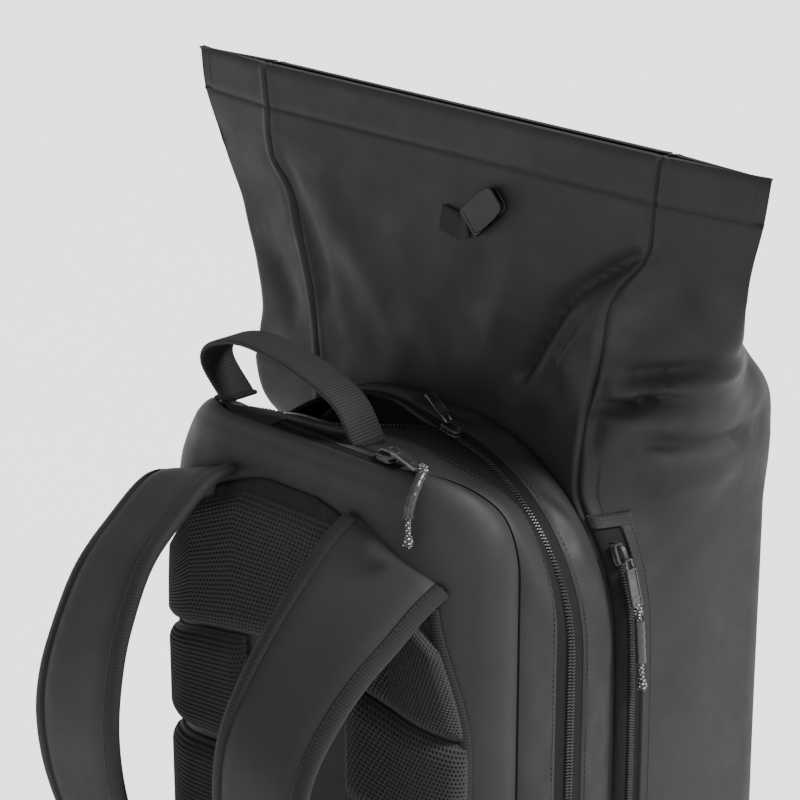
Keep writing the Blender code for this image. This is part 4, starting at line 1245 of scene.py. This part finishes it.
def build_strap_end(side):
    """Webbing from the ladder lock to the anchor tab at the base, and the loop that holds the lock."""
    sign = -1 if side == "left" else 1
    inner, outer = STRAP_EDGES[side]
    end = (Vector(inner[-1]) + Vector(outer[-1])) / 2
    down = (end - (Vector(inner[-2]) + Vector(outer[-2])) / 2).normalized()
    lock = end + down * 17.0
    anchor = Vector((sign * ANCHOR[0], ANCHOR[1], ANCHOR[2]))
    first = lock + down * 14.5
    mid = first + (anchor - first) * 0.5 + Vector((0, -8, -6))
    last = anchor - (anchor - lock).normalized() * 1.0
    route = smooth_line((first, mid, last), RIB_PITCH / 4)
    spread = (Vector((1, 0, 0)), Vector((0.95, 0.3 * sign, 0.16)), Vector((0.7, 0.55 * sign, 0.62)))
    count = len(route)
    across = [curve_at(spread, i / (count - 1)) for i in range(count)]
    web = webbing("webbing_" + side, route, across, WEBBING / 2 - 1.0, 2.2)
    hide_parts("lower_webbing_" + side)
    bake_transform(web)
    loop = smooth_line((end - down * 6.0, end + down * 3.0, end + down * 8.5), RIB_PITCH / 4)
    webbing("lock_loop_" + side, loop, [Vector((1, 0, 0))] * len(loop), WEBBING / 2 - 0.8, 2.6,
            "strap_" + side)
    build_ladder_lock(side, lock, down)
    low = [Vector((sign * 132.5, -76.0, 16.0)), Vector((sign * 139.5, -86.0, 24.0))]
    high = [Vector((sign * 132.5, -76.0, 46.0)), Vector((sign * 139.5, -86.0, 40.0))]
    rows = []
    marks = []
    under = []
    out = Vector((sign * 0.8, -0.6, 0.0))
    for i in range(13):
        t = i / 12
        a = low[0].lerp(low[1], t)
        b = high[0].lerp(high[1], t)
        line = [a.lerp(b, k / 10) for k in range(11)]
        rows.append([p + out * 1.4 for p in line])
        under.append([p - out * 1.4 for p in line])
        marks.append([(t * 12.0, k * 2.4) for k in range(11)])
    obj = shell("anchor_patch_" + side, rows, under, BAND, uvs=marks)
    finish_piece(obj, "bag", ["strap_anchor_tab_" + side])


def build_ladder_lock(side, centre, down):
    """Moulded frame with two slots and a ribbed middle bar that grips the webbing."""
    x, y, z = slider_axes(down, (0, -1, 0))
    made = Builder()
    for edge in (-1, 1):
        rail = rounded_rect(-10.9, 10.9, edge * 15.0 - 1.8, edge * 15.0 + 1.8, 1.7, 4)
        made.prism(rail, centre, x, y, z, -1.9, 1.9, bevel=0.6)
    for low, high, half_thick in ((-10.9, -7.8, 1.7), (-1.8, 1.8, 1.3), (7.8, 10.9, 1.7)):
        bar = rounded_rect(low, high, -14.2, 14.2, 0.9, 3)
        made.prism(bar, centre, x, y, z, -half_thick, half_thick, bevel=0.5)
    for place in (-0.9, 0.0, 0.9):
        made.capsule(centre + x * place - y * 12.6 + z * 1.3, centre + x * place + y * 12.6 + z * 1.3, 0.35)
    finish_piece(made.piece("ladder_lock_frame_" + side, PLASTIC), "lock_" + side,
                 ["ladder_lock_" + side])


# ---------------------------------------------------------------- handle
def arch_top(x):
    """Height of the racket compartment's arch at seam A over a place across the bag."""
    half, top, radius = ARCH_A
    side = max(abs(x) - (half - radius), 0.0)
    return top - radius + math.sqrt(max(radius * radius - side * side, 0.0))


def build_handle():
    ends = [Vector((HANDLE_PATH[k][0] + dx, HANDLE_Y, arch_top(HANDLE_PATH[k][0] + dx) + 0.6))
            for k, dx in ((0, 2.0), (-1, 1.0))]
    route = smooth_line([ends[0]] + list(HANDLE_PATH[1:-1]) + [ends[1]], RIB_PITCH / 5)
    across = [Vector((0, 1, 0))] * len(route)
    web = webbing("handle_web", route, across, WEBBING / 2 - 0.3, 3.0)
    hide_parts("grab_handle")
    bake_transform(web)
    for label, x in (("left", HANDLE_PATH[0][0] + 2.0), ("right", HANDLE_PATH[-1][0])):
        places = [x + dx for dx in (-8.0, -4.0, 0.0, 3.0, 5.0)]
        line = smooth_line([Vector((px, HANDLE_Y, arch_top(px) + 1.0)) for px in places], RIB_PITCH / 4)
        wide = [Vector((0, 1, 0))] * len(line)
        webbing("handle_base_" + label, line, wide, 11.0, 2.4, "bag", ["handle_patch_" + label])
        box = rounded_rect(x - 6.5, x + 6.5, HANDLE_Y - 9.0, HANDLE_Y + 9.0, 0.5, steps=1)
        ring = [(Vector((px, py, arch_top(px) + 2.3)), Vector((0, 0, 1))) for px, py in box]
        stitches("handle_stitches_" + label, [ring + ring[:1]], "bag", pitch=2.6, radius=0.3)


# ---------------------------------------------------------------- zips, sliders and pulls
def slider_axes(along, up):
    along = Vector(along).normalized()
    up = Vector(up)
    up = (up - along * up.dot(along)).normalized()
    return along, up.cross(along), up


def build_slider(name, node, body, centre, along, up, scale=1.0):
    """Zip slider: shield-shaped plate with flanges, and an arched bridge that holds the pull."""
    x, y, z = slider_axes(along, up)
    made = Builder()
    plate = [(-6.5, -2.6), (-5.6, -3.6), (-2.0, -4.1), (3.0, -4.5), (5.6, -3.9), (6.5, -2.4), (6.7, 0.0),
             (6.5, 2.4), (5.6, 3.9), (3.0, 4.5), (-2.0, 4.1), (-5.6, 3.6), (-6.5, 2.6), (-6.7, 0.0)]
    plate = [(px * scale, py * scale) for px, py in plate]
    made.prism(plate, centre, x, y, z, -1.3, 0.5, bevel=0.5)
    made.prism(plate, centre, x, y, z, -3.6, -2.3, bevel=0.4)
    for side in (-1, 1):
        edge = side * 3.5 * scale
        flange = rounded_rect(-5.0 * scale, 5.0 * scale, edge - 0.6, edge + 0.6, 0.5, 2)
        made.prism(flange, centre, x, y, z, -2.4, -1.2, bevel=0.1)
    arch = [Vector(centre) + x * px * scale + z * pz for px, pz in
            ((-5.0, 0.2), (-4.6, 1.7), (-2.4, 2.7), (1.2, 2.9), (3.9, 2.3), (5.0, 0.3))]
    line = smooth_line(arch, 0.7)
    for a, b in zip(line, line[1:]):
        outline = [(-1.4, -0.55), (1.4, -0.55), (1.4, 0.55), (-1.4, 0.55)]
        tangent = (b - a).normalized()
        up_here = y.cross(tangent)
        rings = [[q + y * ox + up_here * oz for ox, oz in outline] for q in (a, b)]
        made.rings(rings)
    return finish_piece(made.piece(name, DARK_METAL), body, [node])


def build_pull(name, node, body, hinge, far, normal, width):
    """Wire ring at the hinge and a stamped tab with a recess and raised edges."""
    x, y, z = slider_axes(Vector(far) - Vector(hinge), normal)
    length = (Vector(far) - Vector(hinge)).length
    made = Builder()
    half = width / 2
    ring = [(-1.6, -half * 0.55), (-1.6, half * 0.55), (4.2, half * 0.62), (4.2, -half * 0.62)]
    corners = [Vector(hinge) + x * px + y * py for px, py in ring]
    for a, b in zip(corners, corners[1:] + corners[:1]):
        made.capsule(a, b, 0.75, up=z)
    tab = rounded_rect(3.6, length, -half, half, 1.1, 3)
    made.prism(tab, hinge, x, y, z, -0.55, 0.55, bevel=0.25)
    for side in (-1, 1):
        edge = side * (half - 0.55)
        rail = rounded_rect(3.9, length - 0.3, edge - 0.5, edge + 0.5, 0.4, 2)
        made.prism(rail, hinge, x, y, z, -0.95, 0.95, bevel=0.25)
    for low, high in ((3.7, 5.0), (length - 6.2, length - 5.0), (length - 1.3, length - 0.2)):
        bar = rounded_rect(low, high, -half + 0.6, half - 0.6, 0.4, 2)
        made.prism(bar, hinge, x, y, z, -0.95, 0.95, bevel=0.25)
    return finish_piece(made.piece(name, GUNMETAL), body, [node])


def knot(name, centre, along, radius, body):
    """Small overhand knot: a cord wound once and a half round itself."""
    along = Vector(along).normalized()
    side = along.orthogonal().normalized()
    other = along.cross(side)
    points = []
    for i in range(49):
        angle = 2 * math.pi * 2.5 * i / 48
        swell = radius * (1.0 + 0.25 * math.sin(angle * 1.5))
        points.append(Vector(centre) + side * math.cos(angle) * swell + other * math.sin(angle) * swell
                      + along * mix(-2.6, 2.6, i / 48))
    return finish_piece(tube(name, points, 1.35, 8, CORD), body)


def cord_puller(name, node, body, hinge, far, route, down):
    """Cord tied to the tab's end, knotted, held in a sleeve, and knotted again; route is from the tab."""
    along = (far - hinge).normalized()
    start = far - along * CORD_TUCK
    end = far + along * CORD_GAP
    line = smooth_line([start, end] + [end + Vector(step) for step in route], 0.9)
    obj = tube(name, line, 1.5, 10, CORD)
    first = line[int(len(line) * 0.10)]
    last = line[-1]
    pieces = [knot(name + "_knot", first, down, 1.3, body), knot(name + "_end_knot", last, down, 1.6, body)]
    low = int(len(line) * 0.20)
    high = int(len(line) * 0.72)

    def wrinkled(s):
        return 2.9 + 0.16 * math.sin(s * 1.1) + 0.1 * math.sin(s * 2.7)

    sleeve = tube(name + "_sleeve", line[low:high], wrinkled, 14, SLEEVE)
    pieces.append(finish_piece(sleeve, body))
    finish_piece(obj, body, [node])


def joint_point(name):
    joint = next(j for j in frame["joints"] if j["name"] == name)
    return Vector(joint["pos_m"]) / MM


def node_centre(name):
    low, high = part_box(name)
    return (low + high) / 2 / MM


def hang_pull(prefix, node, normal, width):
    """Pull of a zip, from its hinge through the middle of its CAD tab; gives the hinge and the far end."""
    hinge = joint_point(prefix + "_pull_swing")
    tab = node_centre(node)
    far = hinge + (tab - hinge) * 2
    build_pull(prefix + "_pull", node, prefix + "_pull", hinge, far, normal, width)
    return hinge, far


def build_pulls():
    up = Vector((0, 0, 1))
    build_slider("racket_slider_body", "racket_zip_slider", "racket_slider",
                 node_centre("racket_zip_slider"), (1, 0, -0.16), up)
    hang_pull("racket", "racket_zip_pull_tab", (0.6, 0, 0.8), 7.5)

    build_slider("valuables_slider_body", "valuables_zip_slider", "valuables_slider",
                 node_centre("valuables_zip_slider"), (1, 0, 0), up, 0.95)
    hinge, far = hang_pull("valuables", "valuables_pull_tab", (0.6, 0, 0.8), 8.0)
    cord_puller("valuables_cord", "valuables_cord_puller", "valuables_pull", hinge, far,
                ((3, -8, -5), (5, -16, -17), (6, -18, -34)), (0.2, -0.3, -1))

    centre = node_centre("side_pocket_zip_slider")
    outward = centre - joint_point("pocket_slider_travel")
    outward.y = 0
    along = Vector((outward.z, 0, -outward.x))
    build_slider("pocket_slider_body", "side_pocket_zip_slider", "pocket_slider",
                 centre, along, outward, 0.95)
    hinge, far = hang_pull("pocket", "side_pocket_pull_tab", (1, 0, 0.2), 8.0)
    cord_puller("pocket_cord", "side_pocket_cord_puller", "pocket_pull", hinge, far,
                ((1.5, 0, -12), (2, 1, -28), (2, 3, -46)), (0.1, 0, -1))


SMALL_TOOTH_PITCH = 1.7


def zip_row(name, line, outs, node):
    """Both rows of teeth of a small zip along a line on the bag."""
    points = spaced(line, SMALL_TOOTH_PITCH / 2)
    made = Builder()
    for i in range(len(points) - 1):
        out = Vector(outs[min(int(i / len(points) * len(outs)), len(outs) - 1)])
        along = (points[i + 1] - points[i]).normalized()
        reach = out.cross(along).normalized()
        if (reach.y < 0) != bool(i % 2):
            reach = -reach
        p = points[i]
        made.capsule(p - reach * 0.3, p + reach * 2.2, 0.5, up=out, flat=1.2)
    finish_piece(made.piece(name, COIL), "bag", [node])


def build_valuables_zip():
    low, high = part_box("valuables_zip_coil")
    y = (low.y + high.y) / 2 / MM
    z = high.z / MM - 0.6
    line = [Vector((mix(low.x / MM, high.x / MM, i / 20), y, z)) for i in range(21)]
    zip_row("valuables_teeth", line, [Vector((0, 0, 1))], "valuables_zip_coil")
    xs = [mix(low.x / MM - 3.0, high.x / MM + 4.0, i / 99) for i in range(100)]
    strip = [(Vector((x, y - 6.5, z - 1.1)), Vector((0, 0, 1)), Vector((0, 1, 0))) for x in xs]
    edge_band("valuables_tape", strip, 13.0, 0.9, TAPE)


def side_point(z, y, lift):
    """Point on the right side of the shell at a depth, and the outward direction there."""
    loop = section_loop(z)
    for a, b in zip(loop, loop[1:]):
        if a.x > 0 and b.x > 0 and a.y <= y <= b.y and b.y > a.y:
            ahead = (b - a).normalized()
            outward = Vector((ahead.y, -ahead.x, 0.0))
            return a.lerp(b, (y - a.y) / (b.y - a.y)) + outward * lift, outward
    return Vector((SECTIONS[0][3], y, z)), Vector((1, 0, 0))


def pocket_sheet(name, y_low, y_high, z_low, z_high, lift, thick, mats, nodes=(), rows=60, cols=8):
    """Strip of fabric on the right side of the shell, its edges eased down."""
    outer = []
    inner = []
    uvs = []
    for r in range(rows + 1):
        z = mix(z_low, z_high, r / rows)
        line = []
        under = []
        for c in range(cols + 1):
            y = mix(y_low, y_high, c / cols)
            edge = min(c, cols - c) / cols * (y_high - y_low)
            end = min(r, rows - r) / rows * (z_high - z_low)
            rise = thick * ease(min(edge, end) / 0.9 + 0.35)
            line.append(side_point(z, y, lift + rise)[0])
            under.append(side_point(z, y, lift)[0])
        outer.append(line)
        inner.append(under)
        uvs.append([(z, mix(y_low, y_high, c / cols)) for c in range(cols + 1)])
    return finish_piece(shell(name, outer, inner, mats, uvs=uvs), "bag", nodes)


def build_side_pocket():
    pocket_sheet("pocket_tape", 4.5, 20.0, 112.0, POCKET_TOP - 3.0, 1.2, 1.2, TAPE,
                 ["side_pocket_zip_tape"])
    pocket_sheet("pocket_welt_front", 17.5, 26.5, 106.0, POCKET_TOP + 1.0, 1.2, 2.6, COATED)
    pocket_sheet("pocket_welt_top", 4.0, 26.5, POCKET_TOP - 6.0, POCKET_TOP + 1.0, 1.3, 2.7, COATED,
                 rows=10, cols=14)
    line = []
    outs = []
    for i in range(80):
        z = mix(124.0, 414.0, i / 79)
        p, out = side_point(z, POCKET_Y, 3.3)
        line.append(p)
        outs.append(out)
    zip_row("pocket_teeth", line, outs, "side_pocket_zip_coil")
    rows = []
    for y, z in ((19.2, POCKET_TOP - 6.0), (24.6, POCKET_TOP - 1.4)):
        rows.append([side_point(mix(108.0, z, i / 90), y, 3.9) for i in range(91)])
    for z in (POCKET_TOP - 1.0, POCKET_TOP - 4.8):
        rows.append([side_point(z, mix(5.5, 24.6, i / 12), 4.0) for i in range(13)])
    stitches("pocket_stitches", rows, "bag", pitch=2.8, radius=0.32)


# ---------------------------------------------------------------- roll-top closure
def build_closure():
    hinge = joint_point("buckle_socket_swing")
    centre = node_centre("closure_buckle_socket")
    x, y, z = slider_axes(centre - hinge, (0, -1, 0))
    made = Builder()
    body = [(3.5, -7.5), (8.0, -9.3), (22.0, -9.3), (29.0, -7.6), (31.0, -5.2), (31.0, 5.2), (29.0, 7.6),
            (22.0, 9.3), (8.0, 9.3), (3.5, 7.5)]
    made.prism(body, hinge, x, y, z, -2.6, -1.2, bevel=0.5)
    made.prism(body, hinge, x, y, z, 1.2, 2.6, bevel=0.5)
    for side in (-1, 1):
        rail = [(3.5, side * 7.4), (9.0, side * 9.0), (13.0, side * 9.0), (13.0, side * 6.8),
                (4.0, side * 5.4)]
        made.prism(rail, hinge, x, y, z, -1.4, 1.4, bevel=0.1)
        tip = [(25.0, side * 8.4), (30.6, side * 5.4), (30.6, side * 2.4), (25.0, side * 5.8)]
        made.prism(tip, hinge, x, y, z, -1.4, 1.4, bevel=0.1)
    bar = rounded_rect(0.4, 2.6, -9.0, 9.0, 0.9, 3)
    made.prism(bar, hinge, x, y, z, -1.5, 1.5, bevel=0.5)
    for side in (-1, 1):
        arm = rounded_rect(0.6, 6.0, side * 8.2 - 0.9, side * 8.2 + 0.9, 0.8, 2)
        made.prism(arm, hinge, x, y, z, -1.6, 1.6, bevel=0.3)
    finish_piece(made.piece("buckle_socket_body", PLASTIC), "buckle_socket",
                 ["closure_buckle_socket"])
    middle = node_centre("closure_tab_webbing")
    route = (middle + Vector((-10, 0, 2)), middle + Vector((4, -0.6, 0)), hinge + Vector((-0.8, 0.2, 0)))
    line = smooth_line(route, RIB_PITCH / 4)
    webbing("closure_tab", line, [Vector((0.2, 0, 1))] * len(line), 8.0, 1.6, "bag", ["closure_tab_webbing"])

    low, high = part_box("front_closure_webbing")
    line = smooth_line((Vector((0, high.y / MM - 2.2, high.z / MM)), Vector((0, high.y / MM - 0.9, 400)),
                        Vector((0, high.y / MM - 0.8, low.z / MM))), RIB_PITCH / 4)
    webbing("front_strap", line, [Vector((1, 0, 0))] * len(line), 10.0, 1.6, "bag", ["front_closure_webbing"])
    hinge = joint_point("buckle_plug_swing")
    x, y, z = Vector((0, 0, -1)), Vector((1, 0, 0)), Vector((0, 1, 0))
    made = Builder()
    made.prism(rounded_rect(1.8, 10.5, -10.3, 10.3, 2.2, 4), hinge, x, y, z, -2.3, 2.3, bevel=0.7)
    made.prism(rounded_rect(9.5, 29.0, -1.6, 1.6, 0.8, 3), hinge, x, y, z, -1.4, 1.4, bevel=0.4)
    for side in (-1, 1):
        prong = [(9.5, side * 5.2), (24.0, side * 6.6), (26.0, side * 9.8), (30.4, side * 8.6),
                 (31.0, side * 5.6), (26.5, side * 3.6), (9.5, side * 2.8)]
        made.prism(prong, hinge, x, y, z, -1.7, 1.7, bevel=0.4)
    finish_piece(made.piece("buckle_plug_body", PLASTIC), "buckle_plug",
                 ["closure_buckle_plug"])


def dress_hidden_nodes():
    """Stiffeners and the pocket's lining keep their CAD shape and get their finish."""
    for name in ("back_frame_sheet", "base_board", "hem_stiffener_rear", "hem_stiffener_front"):
        frame["nodes"][name].material_slots[0].material = STIFFENER
    frame["nodes"]["side_pocket_lining"].material_slots[0].material = LINING


# ---------------------------------------------------------------- camera, light and floor
TARGET = Vector((0.006, -0.040, 0.480))
DISTANCE = 1.55
LENS = 121.5
AZIMUTH = 45.0
ELEVATION = 20.0


def direction(azimuth, elevation):
    a = math.radians(azimuth)
    e = math.radians(elevation)
    return Vector((math.sin(a) * math.cos(e), -math.cos(a) * math.cos(e), math.sin(e)))


def aim(name, data, azimuth, elevation, centre, distance):
    """Camera or light that looks at a centre from a direction."""
    obj = link(bpy.data.objects.new(name, data))
    back = direction(azimuth, elevation)
    obj.location = centre + back * distance
    obj.rotation_euler = (-back).to_track_quat("-Z", "Y").to_euler()
    return obj


def build_camera():
    data = bpy.data.cameras.new("camera")
    data.lens = LENS
    data.sensor_width = 36.0
    bpy.context.scene.camera = aim("camera", data, AZIMUTH, ELEVATION, TARGET, DISTANCE)


def add_sun(name, azimuth, elevation, spread, power):
    data = bpy.data.lights.new(name, "SUN")
    data.energy = power
    data.angle = math.radians(spread)
    aim(name, data, azimuth, elevation, Vector((0, 0, 0.4)), 2.5)


def build_stage():
    world = bpy.data.worlds.new("studio")
    world.use_nodes = True
    background = world.node_tree.nodes["Background"]
    background.inputs["Color"].default_value = (1.0, 1.0, 1.0, 1.0)
    background.inputs["Strength"].default_value = 0.7
    bpy.context.scene.world = world
    add_sun("key", 120.0, 44.0, 18.0, 8.4)
    add_sun("fill", 24.0, 20.0, 50.0, 0.9)
    size = 12.0
    mesh = bpy.data.meshes.new("floor")
    corners = [(-size, -size, 0), (size, -size, 0), (size, size, 0), (-size, size, 0)]
    mesh.from_pydata(corners, [], [(0, 1, 2, 3)])
    floor = link(bpy.data.objects.new("floor", mesh))
    look = Look("floor_paper", (0.96, 0.96, 0.96), 0.9)
    look.rough(look.noise(3.0), 0.88, 0.94)
    mesh.materials.append(look.mat)


def main():
    build_camera()
    build_pulls()
    build_stage()
    build_main_shell()
    build_gusset()
    build_harness_panel()
    build_mesh_pads()
    build_base()
    for side in ("left", "right"):
        build_strap(side)
    build_handle()
    build_valuables_zip()
    build_side_pocket()
    build_closure()
    dress_hidden_nodes()


main()
